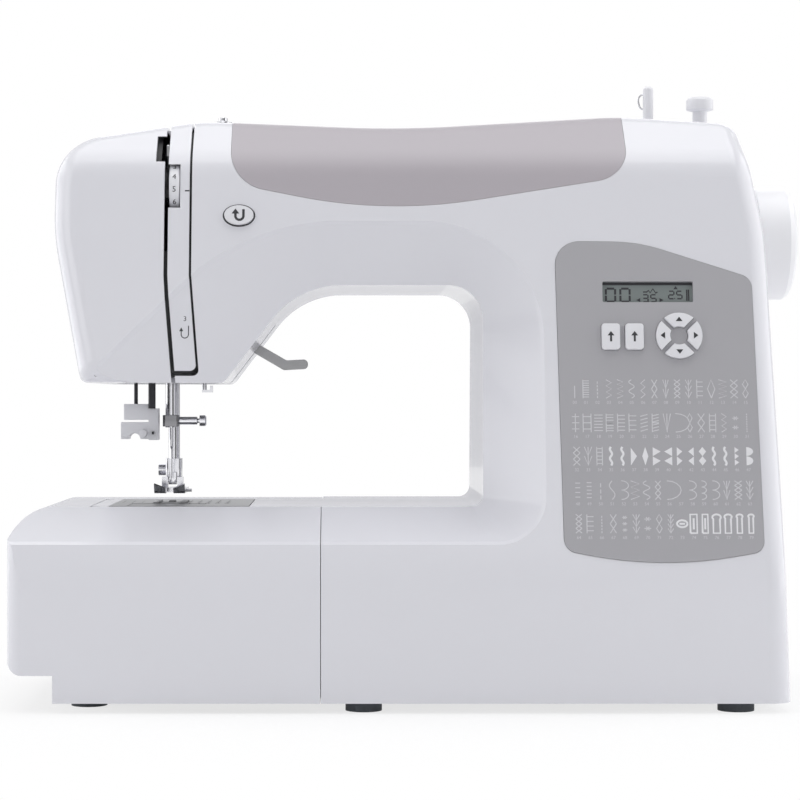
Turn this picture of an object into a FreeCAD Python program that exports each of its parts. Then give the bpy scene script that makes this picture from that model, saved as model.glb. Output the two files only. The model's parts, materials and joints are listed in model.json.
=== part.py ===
# Household sewing machine with an extension table, built as separate pieces
# Millimetres, +Z up, the front faces -Y, the origin is the bottom centre
import FreeCAD
import Part
import Sketcher
import math
import os
import re
from FreeCAD import Placement, Rotation, Vector

# Driving dimensions
SIZES = {
    # Lengths along X
    "needle_from_left": 74.5,
    "throat_reach": 161,
    "tower_width": 149,
    "wheel_overhang": 15.5,
    "table_length": 153.9,
    "table_seam": 0.35,
    "head_setback": 20,
    "head_bottom_inset": 14,
    "head_corner_from_needle": 29.8,
    "head_slope": 52.6,
    "side_draft_low": 8,
    "side_draft_high": 19,
    # Depths along Y
    "overall_depth": 170,
    "needle_depth": 90,
    "presser_behind": 20,
    "scoop_depth": 42,
    "scoop_width": 27,
    "scoop_rise": 29.5,
    "scoop_corner_from_needle": 43,
    "scoop_foot_before_needle": 60,
    "scoop_foot_drop": 21,
    "scoop_edge": 1.8,
    "table_depth": 165,
    "free_arm_front": 43,
    "free_arm_width": 85,
    "rear_cover_depth": 32,
    "back_draft": 23,
    "slot_run": 75,
    # Heights
    "foot_height": 5,
    "bed_height": 99,
    "bed_drop": 15,
    "needle_space": 62.5,
    "throat_height": 112,
    "arm_thickness": 86.5,
    "shaft_above_arm": 24,
    "lean_start": 70,
    "front_lean": 9,
    "shoulder_above_arm": 62,
    "shoulder_depth": 30,
    "head_top_drop": 14.5,
    "waist_drop": 6.6,
    # Walls, rounds and clearances
    "cover_wall": 3,
    "table_wall": 2.6,
    "table_corner": 8,
    "table_end_round": 18,
    "table_step_in": 23,
    "table_step_rise": 13.5,
    "edge_round": 11,
    "panel_skin": 1.4,
    "panel_gap": 0.15,
    "running_fit": 0.05,
    "side_fit": 0.4,
    "slide_fit": 0.5,
    "button_fit": 0.25,
    # Thread slots and the strip between them
    "slot_left_width": 2,
    "take_up_window": 4.5,
    "take_up_window_height": 14,
    "take_up_window_drop": 11,
    "slot_right_width": 1.2,
    "slot_from_needle": 0.9,
    "strip_width": 10.6,
    "strip_bottom_gap": 2.5,
    "channel_wall": 1.2,
    # Tension dial
    "dial_radius": 13,
    "dial_width": 5.2,
    "dial_drop": 36,
    "dial_proud": 0.6,
    "axle_radius": 2,
    # Arm shaft, crank and connecting rod
    "shaft_radius": 5,
    "bush_length": 16,
    "crank_radius": 15,
    "crank_disc_radius": 24,
    "crank_disc_width": 6,
    "crank_from_needle": 17.5,
    "crank_pin_radius": 3,
    "rod_length": 40,
    "rod_width": 4,
    "rod_eye_radius": 7,
    # Belts, pulleys and motor
    "belt_bay": 30.5,
    "timing_inset": 14,
    "timing_width": 10,
    "timing_radius": 14,
    "drive_width": 10,
    "drive_radius": 26,
    "belt_thickness": 1.6,
    "belt_fit": 0.1,
    "column_width": 30,
    "motor_length": 50,
    "motor_radius": 20,
    "motor_behind_shaft": 22,
    "motor_height": 50,
    "motor_pulley_radius": 7,
    "motor_shaft_radius": 2.5,
    # Handwheel
    "wheel_radius": 29.3,
    "wheel_gap": 1.5,
    "wheel_dome": 5,
    "wheel_bore_depth": 16,
    # Needle bar and cradle
    "needle_bar_radius": 3.2,
    "needle_bar_below": 23,
    "cradle_above_shaft": 31,
    "cradle_pin_radius": 3,
    "needle_drop": 51.5,
    "needle_radius": 0.5,
    "shank_radius": 1,
    "clamp_width": 8.6,
    "clamp_height": 6,
    "clamp_screw_length": 14,
    "clamp_sleeve_radius": 2.1,
    "clamp_knob_radius": 2.9,
    "clamp_knob_width": 3.4,
    # Take-up lever
    "take_up_thickness": 1.2,
    "take_up_reach": 31,
    "take_up_rise": 33,
    "take_up_above_shaft": 11,
    "take_up_before_needle": 14,
    # Presser bar, foot and lifter
    "presser_radius": 3,
    "foot_lift": 5,
    "foot_width": 16,
    "foot_length": 30,
    "foot_thickness": 2.4,
    "toe_rise": 5.4,
    "toe_dip": 2.2,
    "toe_reach": 4,
    "toe_gap": 4,
    "holder_height": 12,
    "foot_pin_radius": 0.9,
    "lifter_thickness": 5,
    "lifter_pivot_x": 10.5,
    "lifter_pivot_z": 30.5,
    "lifter_height": 5.2,
    "lifter_reach": 82,
    # Needle threader
    "threader_rod_radius": 1.9,
    "threader_thin_radius": 1,
    "threader_notch": 3,
    # Free arm, plate and feed
    "free_arm_height": 61,
    "free_arm_left": 37,
    "plate_left": 28.5,
    "plate_right": 42.5,
    "plate_thickness": 1.6,
    "plate_ledge": 4,
    "plate_fit": 0.3,
    "feed_row_width": 3,
    "feed_row_pitch": 7,
    "feed_row_length": 24,
    "feed_travel": 2.3,
    "feed_proud": 0.9,
    "bobbin_cover_width": 38,
    "bobbin_cover_length": 27,
    # Rotary hook and bobbin
    "hook_before_needle": 17,
    "hook_radius": 15.5,
    "hook_below_bed": 7,
    "hook_height": 15.5,
    "hook_shaft_radius": 4,
    "hook_gear_radius": 8.9,
    "bobbin_radius": 10.2,
    "bobbin_height": 11.4,
    # Lower shaft
    "lower_shaft_radius": 4,
    "lower_gear_radius": 17.8,
    "lower_behind_needle": 10,
    "lower_below_bed": 37,
    # Base and feet
    "base_thickness": 4,
    "base_behind_step": 3.5,
    "base_front_inset": 23,
    "base_left_depth": 116,
    "foot_radius": 9,
    "foot_inset": 11,
    "foot_from_seam": 21,
    "foot_from_right": 26,
    "foot_from_front": 15,
    "foot_from_back": 18,
    # Control panel
    "control_inset": 35,
    "control_width": 98.5,
    "control_bottom": 79,
    "control_top": 232,
    "control_thickness": 2.4,
    "control_proud": 0.3,
    "display_inset": 22.9,
    "display_below_top": 30.6,
    "display_width": 45,
    "display_height": 10.5,
    "buttons_below_top": 48,
    "buttons_inset": 26.5,
    "button_pitch": 11.7,
    "button_width": 9,
    "button_height": 13,
    "button_proud": 2.2,
    "keys_inset": 60.3,
    "keys_below_top": 47.5,
    "key_ring_radius": 11.4,
    "key_hole_radius": 4.6,
    "key_gap": 2.2,
    "board_side_margin": 8,
    "board_low_margin": 26,
    "board_top_margin": 18,
    "board_post_inset": 4.5,
    "board_post_radius": 2.9,
    "reverse_width": 14.6,
    "reverse_height": 9.8,
    # Top fittings
    "trough_length": 124,
    "trough_width": 40,
    "trough_depth": 28,
    "spool_pin_radius": 2.9,
    "spool_pin_length": 58,
    "spindle_radius": 2.7,
    "spindle_seat_radius": 3.7,
    "spindle_seat": 1.5,
    "spindle_top": 318.4,
    "spindle_travel": 9,
    "carriage_drop": 5.5,
    "spindle_from_right": 58.5,
    "stop_from_right": 31.2,
    "stop_radius": 7.1,
    "stop_top": 312.6,
    # Handle and power inlet
    "handle_width": 140,
    "handle_drop": 50,
    "handle_bar": 8,
    "handle_gap": 2.5,
    "handle_pin_radius": 2.5,
    "handle_arm_end": 4,
    "inlet_width": 24,
    "inlet_height": 38,
    "inlet_depth": 16,
    "inlet_before_split": 12,
    "inlet_above_base": 12,
}

doc = FreeCAD.newDocument("SewingMachine")
sheet = doc.addObject("Spreadsheet::Sheet", "Sizes")
for row, (alias, number) in enumerate(SIZES.items(), start=1):
    sheet.set(f"A{row}", alias)
    sheet.set(f"B{row}", str(number))
    sheet.setAlias(f"B{row}", alias)
doc.recompute()
gauge = doc.addObject("App::FeaturePython", "Gauge")

WORD = re.compile(r"[a-z_][a-z_0-9]*")
nodes = []


def named(expression):
    """Puts the sheet's name before every alias in an expression."""
    return WORD.sub(
        lambda word: "Sizes." + word.group(0) if word.group(0) in SIZES else word.group(0),
        str(expression),
    )


def mm(expression):
    """The present number of an expression in the sheet's aliases."""
    return float(gauge.evalExpression(named(expression)))


def bind(item, prop, expression):
    item.setExpression(prop, named(expression))


def node(label, item):
    """Marks an object as a finished sub-part."""
    item.Label = label
    nodes.append(item)
    return item


# Places that several pieces share
LENGTH = "(needle_from_left + throat_reach + tower_width + wheel_overhang)"
LEFT = f"(-{LENGTH} / 2)"
RIGHT = f"({LENGTH} / 2)"
FRONT = "(-overall_depth / 2)"
BACK = "(overall_depth / 2)"
NEEDLE_X = f"({LEFT} + needle_from_left)"
NEEDLE_Y = f"({FRONT} + needle_depth)"
PRESSER_Y = f"({NEEDLE_Y} + presser_behind)"
SEAM_X = f"({LEFT} + table_length)"
HEAD_LEFT = f"({LEFT} + head_setback)"
TOWER_IN = f"({NEEDLE_X} + throat_reach)"
TOWER_RIGHT = f"({RIGHT} - wheel_overhang)"
HEAD_Z = "(bed_height + needle_space)"
ARM_Z = "(bed_height + throat_height)"
TOP_Z = f"({ARM_Z} + arm_thickness)"
SHAFT_Z = f"({ARM_Z} + shaft_above_arm)"
SPLIT_Y = f"({BACK} - rear_cover_depth)"
ARM_FRONT = f"({FRONT} + free_arm_front)"
ARM_BACK = f"({ARM_FRONT} + free_arm_width)"
FREE_LEFT = f"({LEFT} + free_arm_left)"
FREE_Z = "(bed_height - free_arm_height)"
COLUMN_X = f"({TOWER_IN} + belt_bay)"
COLUMN_END = f"({COLUMN_X} + column_width)"
TIMING_X = f"({TOWER_IN} + timing_inset)"
DRIVE_X = f"({COLUMN_END} + motor_length + 6)"
LOWER_Y = f"({NEEDLE_Y} + lower_behind_needle)"
LOWER_Z = "(bed_height - lower_below_bed)"
HOOK_Y = f"({NEEDLE_Y} - hook_before_needle)"
HOOK_TOP = "(bed_height - hook_below_bed)"
HOOK_Z = f"({HOOK_TOP} - hook_height)"
CRADLE_Z = f"({SHAFT_Z} + cradle_above_shaft)"
STUD_Z = f"({SHAFT_Z} + crank_radius - rod_length)"
CRANK_X = f"({NEEDLE_X} + crank_from_needle)"
PLATE_Y = f"({PRESSER_Y} + presser_radius + lifter_thickness + 2)"
PLATE_BACK = f"({PLATE_Y} + 6)"
TAKE_UP_Y = f"({NEEDLE_Y} - take_up_before_needle)"
TAKE_UP_Z = f"({SHAFT_Z} + take_up_above_shaft)"
SLOT_X = f"({NEEDLE_X} + slot_from_needle)"
STRIP_X = f"({SLOT_X} + slot_left_width)"
WHEEL_X = f"({TOWER_RIGHT} - side_draft_low + wheel_gap)"
MOTOR_Y = f"({NEEDLE_Y} + motor_behind_shaft)"
BASE_TOP = "(foot_height + base_thickness)"
LEAN = math.radians(mm("front_lean"))


# Plain solids bound to the sheet
def box(name, x, y, z):
    """A block between the given pairs of limits."""
    item = doc.addObject("Part::Box", name)
    for prop, axis, (low, high) in (("Length", "x", x), ("Width", "y", y), ("Height", "z", z)):
        bind(item, prop, f"({high}) - ({low})")
        bind(item, f"Placement.Base.{axis}", low)
    return item


TURNS = {
    "X": Rotation(Vector(0, 1, 0), 90),
    "Y": Rotation(Vector(1, 0, 0), -90),
    "Z": Rotation(),
}


def rod(name, axis, centre, span, radius):
    """A cylinder along an axis, between two limits on that axis."""
    item = doc.addObject("Part::Cylinder", name)
    low, high = span
    item.Placement = Placement(Vector(), TURNS[axis])
    bind(item, "Radius", radius)
    bind(item, "Height", f"({high}) - ({low})")
    first, second = centre
    place = {"X": (low, first, second), "Y": (first, low, second), "Z": (first, second, low)}[axis]
    for letter, expression in zip("xyz", place):
        bind(item, f"Placement.Base.{letter}", expression)
    return item


def fuse(name, *items):
    item = doc.addObject("Part::MultiFuse", name)
    item.Shapes = list(items)
    item.Refine = True
    return item


def cut(name, base, *tools):
    item = doc.addObject("Part::Cut", name)
    item.Base = base
    item.Tool = tools[0] if len(tools) == 1 else fuse(name + "Tools", *tools)
    item.Refine = True
    return item


def group(name, *items):
    item = doc.addObject("Part::Compound", name)
    item.Links = list(items)
    return item


def rounded(name, base, radius, pick):
    """Rounds the edges that pick chooses, with a radius from the sheet."""
    doc.recompute()
    item = doc.addObject("Part::Fillet", name)
    item.Base = base
    size = mm(radius)
    item.Edges = [(k + 1, size, size) for k, edge in enumerate(base.Shape.Edges) if pick(edge)]
    return item


def along(axis):
    """Chooses straight edges that run along an axis."""
    unit = {"X": Vector(1, 0, 0), "Y": Vector(0, 1, 0), "Z": Vector(0, 0, 1)}[axis]

    def pick(edge):
        if len(edge.Vertexes) < 2 or not isinstance(edge.Curve, Part.Line):
            return False
        run = edge.Vertexes[1].Point.sub(edge.Vertexes[0].Point)
        return abs(abs(run.normalize().dot(unit)) - 1) < 1e-6

    return pick


# Bodies from sketches whose corner points are bound to the sheet
def outline_sketch(body, plane, points):
    planes = {item.Role: item for item in body.Origin.OriginFeatures}
    sketch = body.newObject("Sketcher::SketchObject", body.Name + "Outline")
    sketch.AttachmentSupport = [(planes[plane], "")]
    sketch.MapMode = "FlatFace"
    spots = [Vector(mm(u), mm(v), 0) for u, v in points]
    count = len(points)
    for k in range(count):
        sketch.addGeometry(Part.LineSegment(spots[k], spots[(k + 1) % count]), False)
    for k in range(count):
        sketch.addConstraint(Sketcher.Constraint("Coincident", k, 2, (k + 1) % count, 1))
    for k, (u, v) in enumerate(points):
        for kind, value, axis, spot in (("DistanceX", u, -2, spots[k].x), ("DistanceY", v, -1, spots[k].y)):
            if value == "0":
                sketch.addConstraint(Sketcher.Constraint("PointOnObject", k, 1, axis))
            else:
                made = sketch.addConstraint(Sketcher.Constraint(kind, -1, 1, k, 1, spot))
                sketch.setExpression(f"Constraints[{made}]", named(value))
    return sketch


def turned(label, axis, start, profile):
    """A turned piece: profile holds (radius, distance along the axis) pairs."""
    body = doc.addObject("PartDesign::Body", label.title().replace("_", ""))
    sketch = outline_sketch(body, "XZ_Plane", profile)
    turn = body.newObject("PartDesign::Revolution", body.Name + "Turn")
    turn.Profile = sketch
    turn.ReferenceAxis = (sketch, ["V_Axis"])
    turn.Angle = 360
    sketch.Visibility = False
    body.Placement = Placement(Vector(), TURNS[axis])
    for letter, expression in zip("xyz", start):
        bind(body, f"Placement.Base.{letter}", expression)
    return body


def plate(label, turn, start, points, thickness, corner=None):
    """A flat piece: its outline padded along the turned body's own Z."""
    body = doc.addObject("PartDesign::Body", label.title().replace("_", ""))
    sketch = outline_sketch(body, "XY_Plane", points)
    pad = body.newObject("PartDesign::Pad", body.Name + "Pad")
    pad.Profile = sketch
    bind(pad, "Length", thickness)
    sketch.Visibility = False
    if corner:
        doc.recompute()
        sides = [
            f"Edge{k + 1}"
            for k, edge in enumerate(pad.Shape.Edges)
            if abs(edge.Vertexes[0].Z - edge.Vertexes[-1].Z) > 1e-6
        ]
        bend = body.newObject("PartDesign::Fillet", body.Name + "Corners")
        bend.Base = (pad, sides)
        bind(bend, "Radius", corner)
    body.Placement = Placement(Vector(), turn)
    for letter, expression in zip("xyz", start):
        bind(body, f"Placement.Base.{letter}", expression)
    return body


# Outlines with rounded corners for the moulded covers
def rounded_wire(points, lift, grow=0.0):
    """A closed wire of lines and arcs; points are (u, v, radius), grow moves it outward."""
    count = len(points)
    area = sum(
        points[k][0] * points[(k + 1) % count][1] - points[(k + 1) % count][0] * points[k][1]
        for k in range(count)
    )
    side = 1 if area > 0 else -1
    lines = []
    for k in range(count):
        (u0, v0, _), (u1, v1, _) = points[k], points[(k + 1) % count]
        size = math.hypot(u1 - u0, v1 - v0)
        du, dv = (u1 - u0) / size, (v1 - v0) / size
        lines.append((u0 + side * dv * grow, v0 - side * du * grow, du, dv))
    corners = []
    for k in range(count):
        (ua, va, da, ea), (ub, vb, db, eb) = lines[k - 1], lines[k]
        cross = da * eb - ea * db
        if abs(cross) < 1e-9:
            spot = (ub, vb)
        else:
            run = ((ub - ua) * eb - (vb - va) * db) / cross
            spot = (ua + run * da, va + run * ea)
        radius = points[k][2]
        if radius:
            radius = max(0.2, radius + (grow if cross * side > 0 else -grow))
        turn = math.atan2(cross, da * db + ea * eb)
        corners.append((spot, (da, ea), (db, eb), radius, turn))
    ends = []
    for spot, into, out, radius, turn in corners:
        reach = radius * math.tan(abs(turn) / 2)
        first = (spot[0] - into[0] * reach, spot[1] - into[1] * reach)
        last = (spot[0] + out[0] * reach, spot[1] + out[1] * reach)
        sway = radius * (1 / math.cos(turn / 2) - 1)
        lean_u, lean_v = out[0] - into[0], out[1] - into[1]
        size = math.hypot(lean_u, lean_v) or 1.0
        middle = (spot[0] + lean_u / size * sway, spot[1] + lean_v / size * sway)
        ends.append((first, middle, last, radius))
    edges = []
    for k in range(count):
        first, middle, last, radius = ends[k]
        if radius:
            edges.append(Part.Arc(lift(*first), lift(*middle), lift(*last)).toShape())
        following = ends[(k + 1) % count][0]
        edges.append(Part.makeLine(lift(*last), lift(*following)))
    return Part.Wire(edges)


def prism(points, plane, low, high, grow=0.0):
    """A rounded outline carried along the axis that its plane faces."""
    lift = {
        "XZ": lambda u, v: Vector(u, low, v),
        "YZ": lambda u, v: Vector(low, u, v),
        "XY": lambda u, v: Vector(u, v, low),
    }[plane]
    run = {"XZ": Vector(0, 1, 0), "YZ": Vector(1, 0, 0), "XY": Vector(0, 0, 1)}[plane]
    return Part.Face(rounded_wire(points, lift, grow)).extrude(run * (high - low))


def block(x, y, z):
    """A plain block between limits given as numbers."""
    return Part.makeBox(x[1] - x[0], y[1] - y[0], z[1] - z[0], Vector(x[0], y[0], z[0]))


def lean_point(u, w, rise=0.0):
    """A point of the leaning front plane: u along X, w up the slope, rise out of it."""
    return Vector(
        u,
        mm(FRONT) + w * math.sin(LEAN) - rise * math.cos(LEAN),
        mm("lean_start") + w * math.cos(LEAN) + rise * math.sin(LEAN),
    )


def up_slope(z):
    """The distance up the leaning plane at a height."""
    return (z - mm("lean_start")) / math.cos(LEAN)


def lean_prism(points, low, high, grow=0.0):
    """An outline on the leaning plane, carried square to it."""
    wire = rounded_wire(points, lambda u, w: lean_point(u, w, low), grow)
    return Part.Face(wire).extrude(lean_point(0, 0, high) - lean_point(0, 0, low))


def lean_oval(centre, half_wide, half_tall, low, high, grow=0.0):
    """An ellipse on the leaning plane, carried square to it."""
    middle = lean_point(*centre, low)
    side = lean_point(centre[0] + half_wide + grow, centre[1], low)
    top = lean_point(centre[0], centre[1] + half_tall + grow, low)
    rim = Part.Wire([Part.Edge(Part.Ellipse(side, top, middle))])
    return Part.Face(rim).extrude(lean_point(0, 0, high) - lean_point(0, 0, low))


def rectangle(left, right, low, high, corner):
    return [(left, low, corner), (right, low, corner), (right, high, corner), (left, high, corner)]


FAR = mm(LENGTH)
LEAN_TURN = Rotation(Vector(1, 0, 0), 90 - mm("front_lean"))
UPRIGHT = Rotation(Vector(1, 0, 0), 90)


# Moulded covers
def front_outline(floor, draw=0.0):
    """The machine seen from the front, without the table: a C round the throat; draw narrows it."""
    top, shaft, arm, head = mm(TOP_Z), mm(SHAFT_Z), mm(ARM_Z), mm(HEAD_Z)
    right, seam, inner, bed = mm(TOWER_RIGHT) - draw, mm(SEAM_X), mm(TOWER_IN), mm("bed_height")
    left = mm(HEAD_LEFT) + draw
    corner = mm(f"{NEEDLE_X} + head_corner_from_needle")
    slope = math.tan(math.radians(mm("head_slope")))
    return [
        (right, floor, 0),
        (right - mm("side_draft_low"), shaft, 150),
        (right - mm("side_draft_high"), top - 3.5, 12),
        (inner + 72, top + 0.8, 200),
        (mm(NEEDLE_X) + 117.5, top - mm("waist_drop"), 500),
        (mm(NEEDLE_X) + 17.5, top - 2, 80),
        (left, top - mm("head_top_drop"), 26),
        (left - 0.6, shaft + 1, 110),
        (left + mm("head_bottom_inset"), head, 4),
        (corner, head, 5),
        (corner + (arm - head) / slope, arm, 45),
        (inner, arm, 18),
        (inner, bed, 6),
        (seam, bed, 0),
        (seam, floor, 0),
    ]


def side_outline(floor):
    """The machine seen from its end: leaning front, shoulder, top and back."""
    front, back = mm(FRONT), mm(BACK)
    shoulder = mm(f"{ARM_Z} + shoulder_above_arm")
    rise = mm("shoulder_depth")
    start = mm("lean_start")
    crest = front + (shoulder - start) * math.tan(LEAN)
    return [
        (front, floor, 0),
        (front, start, 150),
        (crest, shoulder, 26),
        (crest + rise, shoulder + rise, 30),
        (back - mm("back_draft"), shoulder + rise, 16),
        (back, start, 150),
        (back, floor, 0),
    ]


def scoop(grow):
    """The bevelled mouth of the throat with its softened front edge, as a cutter."""
    bed, arm, head, inner = mm("bed_height"), mm(ARM_Z), mm(HEAD_Z), mm(TOWER_IN)
    corner = mm(f"{NEEDLE_X} + head_corner_from_needle")
    slope = math.tan(math.radians(mm("head_slope")))
    deep = 4.0
    inside = [
        (-FAR, bed + 1.4, 0),
        (inner - 3.5, bed + 1.4, 5),
        (inner - 3.5, arm - 9, 14),
        (corner + (arm - head) / slope + 4, arm - 9, 38),
        (corner + 4, head - 9, 4),
        (-FAR, head - 9, 0),
    ]
    wide = mm("scoop_width")
    high = up_slope(arm + mm("scoop_rise"))
    low = up_slope(bed - mm("bed_drop"))
    foot = up_slope(head - mm("scoop_foot_drop"))
    outside = [
        (-FAR, low, 0),
        (inner + wide, low, 22),
        (inner + wide, high, 58),
        (mm(NEEDLE_X) + mm("scoop_corner_from_needle"), high, 110),
        (mm(NEEDLE_X) - mm("scoop_foot_before_needle"), foot, 6),
        (-FAR, foot, 0),
    ]
    depth = mm(FRONT) + mm("scoop_depth") + deep + grow
    far_wire = rounded_wire(inside, lambda u, v: Vector(u, depth, v), grow)
    edge = mm("scoop_edge")
    lip_wire = rounded_wire(outside, lambda u, w: lean_point(u, w, -edge), grow)
    near_wire = rounded_wire(outside, lambda u, w: lean_point(u, w, edge), grow + edge * 2)
    return Part.makeLoft([far_wire, lip_wire, near_wire], True, True)


def cover_body(inset, floor, draw=0.0):
    """The whole moulded body, drawn in by inset, with its outer front edges rounded."""
    ends = 60.0
    across = prism(front_outline(floor, draw), "XZ", mm(FRONT) - ends, mm(BACK) + ends, -inset)
    along_x = prism(side_outline(floor), "YZ", mm(LEFT) - ends, mm(RIGHT) + ends, -inset)
    solid = across.common(along_x)
    limit = (mm(FRONT) + mm(SPLIT_Y)) / 2
    edges = [
        edge
        for edge in solid.Edges
        if edge.BoundBox.YMax < limit
        and edge.BoundBox.ZMin > mm("foot_height") - 60
        and (edge.BoundBox.XMin > mm(TOWER_RIGHT) - 12 or edge.BoundBox.XMax < mm(HEAD_LEFT) + 8)
        and edge.BoundBox.ZLength > 20
    ]
    if not inset:
        solid = solid.makeFillet(mm("edge_round"), edges)
    return solid.cut(scoop(inset))


def seam_line(shift):
    """The left thread slot's line, moved to the right by shift."""
    x = mm(SLOT_X) + shift
    bend = mm(SHAFT_Z) - 20
    return [(x, FAR), (x, bend), (x + 4.0, mm(HEAD_Z) - 12)]


def left_of(shift, low, high):
    line = [(u, v, 0) for u, v in seam_line(shift)]
    base = line[-1][1]
    return prism([(-FAR, FAR, 0)] + line + [(-FAR, base, 0)], "XZ", low, high)


def strip_zone(left, right, bottom, low, high):
    """The band between two lines beside the left slot, above a bottom height."""
    first = seam_line(left)
    second = seam_line(right)
    slant = 4.0 / (first[1][1] - first[2][1])
    foot = (first[1][1] - bottom) * slant
    points = [
        (first[0][0], FAR, 0),
        (first[1][0], first[1][1], 0),
        (first[1][0] + foot, bottom, 0),
        (second[1][0] + foot, bottom, 3),
        (second[1][0], second[1][1], 30),
        (second[0][0], FAR, 0),
    ]
    return prism(points, "XZ", low, high)


def band_outline():
    """The grey band on the arm, seen from the front."""
    left = mm(NEEDLE_X) + 34
    right = mm(TOWER_IN) + 71.5
    arm = mm(ARM_Z)
    return [
        (left, arm + 150, 0),
        (left, arm + 50.5, 20),
        (mm(NEEDLE_X) + 112, arm + 34.8, 250),
        (right, arm + 54, 17),
        (right, arm + 150, 0),
    ]


def control_outline():
    """The control panel on the leaning plane."""
    left = mm(TOWER_IN) + mm("control_inset")
    right = left + mm("control_width")
    top, bottom = mm("control_top"), mm("control_bottom")
    return [
        (left + 2.2, up_slope(bottom + 0.5), 7),
        (left + 49, up_slope(bottom - 8.5), 200),
        (right + 1.2, up_slope(bottom), 6),
        (right - 1.5, up_slope(top - 18.5), 7),
        (left + 41, up_slope(top - 0.5), 80),
        (left - 0.5, up_slope(top), 12),
    ]


def feature(label, shape):
    item = doc.addObject("Part::Feature", label.title().replace("_", ""))
    item.Shape = shape
    item.Placement = Placement()
    return node(label, item)


wall = mm("cover_wall")
floor_z = mm("foot_height")
outer = cover_body(0.0, floor_z)
hollow = cover_body(wall, floor_z - 40, mm("edge_round") * 0.45)
skin_inner = cover_body(mm("panel_skin"), floor_z - 40)
shell = outer.cut(hollow)
split = mm(SPLIT_Y)
front_half = shell.common(block((-FAR, FAR), (-FAR, split), (-FAR, FAR)))
rear_half = shell.common(block((-FAR, FAR), (split, FAR), (-FAR, FAR)))

slot_end = mm(FRONT) + mm("slot_run")
slot_one = left_of(mm("slot_left_width"), -FAR, slot_end).cut(left_of(0, -FAR, slot_end))
strip_left = mm("slot_left_width")
strip_right = strip_left + mm("strip_width")
strip_floor = mm(HEAD_Z) + 6
zone = strip_zone(
    strip_left - 0.5,
    strip_right + mm("slot_right_width"),
    strip_floor - mm("strip_bottom_gap"),
    -FAR,
    slot_end,
)
strip_prism = strip_zone(strip_left, strip_right, strip_floor, -FAR, slot_end)

mouth = block(
    (mm(NEEDLE_X) - 27, mm(NEEDLE_X) + 24),
    (mm(NEEDLE_Y) - 20, mm(PRESSER_Y) + 12),
    (mm(HEAD_Z) - 10, mm(HEAD_Z) + wall + 1),
)
# The left slot widens at its top, where the take-up lever shows
window_top = mm(TOP_Z) - mm("take_up_window_drop")
take_up_window = left_of(0, -FAR, slot_end).cut(left_of(-mm("take_up_window"), -FAR, slot_end)).common(
    block((-FAR, FAR), (-FAR, slot_end), (window_top - mm("take_up_window_height"), window_top))
)
face_cover = front_half.common(left_of(0, -FAR, FAR)).cut(mouth).cut(take_up_window)
strip = front_half.common(strip_prism)

band_grown = prism(band_outline(), "XZ", -FAR, mm(FRONT) + 70, mm("panel_gap"))
band_cut = prism(band_outline(), "XZ", -FAR, mm(FRONT) + 70 - mm("panel_gap"))
arm_band = outer.common(band_cut).cut(skin_inner)

front_cover = front_half.cut(left_of(0, -FAR, FAR)).cut(slot_one).cut(zone).cut(mouth)
front_cover = front_cover.cut(band_grown.cut(skin_inner))
front_cover = front_cover.cut(lean_prism(control_outline(), -12, 12, mm("panel_gap")))

# Lifter slot through the sloping side of the head
lifter_low = mm(PRESSER_Y) + mm("presser_radius") + 0.5 - mm("side_fit") * 2
lifter_high = lifter_low + mm("lifter_thickness") + mm("side_fit") * 4
lifter_slot = block(
    (mm(NEEDLE_X) + 20, mm(NEEDLE_X) + 54),
    (lifter_low, lifter_high),
    (mm(HEAD_Z) - 10, mm(HEAD_Z) + 33),
)
front_cover = front_cover.cut(lifter_slot)

# Opening from the tower into the free arm, and the way for the base below it
free_wall = mm("table_wall")
front_cover = front_cover.cut(
    block(
        (mm(SEAM_X) - 5, mm(SEAM_X) + wall + 2),
        (mm(ARM_FRONT) + free_wall, mm(ARM_BACK) - free_wall),
        (mm(FREE_Z) + free_wall, mm("bed_height") - free_wall),
    )
)
base_way = block(
    (-FAR, mm(SEAM_X) + wall + 2),
    (
        mm(FRONT) + mm("base_front_inset") - mm("slide_fit"),
        mm(FRONT) + mm("base_front_inset") + mm("base_left_depth") + mm("slide_fit"),
    ),
    (-FAR, mm(BASE_TOP) + mm("slide_fit")),
)
front_cover = front_cover.cut(base_way)
rear_half = rear_half.cut(base_way)

# Spool trough moulded into the top
trough_y = mm(SPLIT_Y) - 3 - mm("trough_width")
trough_x = mm(NEEDLE_X) + 63.5
trough_low = mm(TOP_Z) - 3 - mm("trough_depth")
tub = block(
    (trough_x - wall, trough_x + mm("trough_length") + wall),
    (trough_y - wall, mm(SPLIT_Y)),
    (trough_low - wall, FAR),
).common(outer)
pocket = block(
    (trough_x, trough_x + mm("trough_length")),
    (trough_y, trough_y + mm("trough_width")),
    (trough_low, FAR),
)
front_cover = front_cover.fuse(tub).cut(pocket)

# Holes for the shaft, the winder and the reverse button
spindle_x = mm(f"{TOWER_RIGHT} - spindle_from_right")
stop_x = mm(f"{TOWER_RIGHT} - stop_from_right")
shaft_hole = Part.makeCylinder(
    mm("shaft_radius") + 1.5, 60, Vector(mm(TOWER_RIGHT) - 40, mm(NEEDLE_Y), mm(SHAFT_Z)), Vector(1, 0, 0)
)
spindle_way = mm("spindle_seat_radius + slide_fit")
winder_slot = block(
    (spindle_x - spindle_way, spindle_x + mm("spindle_travel") + spindle_way),
    (mm(NEEDLE_Y) + 5 - spindle_way, mm(NEEDLE_Y) + 5 + spindle_way),
    (mm(TOP_Z) - 20, FAR),
)
stop_hole = Part.makeCylinder(3.8 + mm("running_fit"), 60, Vector(stop_x, mm(NEEDLE_Y) + 5, mm(TOP_Z) - 20))
reverse_x = mm(NEEDLE_X) + 38.3
reverse_w = up_slope(mm(ARM_Z) + 33.9)
reverse_oval = ((reverse_x, reverse_w), mm("reverse_width") / 2, mm("reverse_height") / 2)
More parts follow.
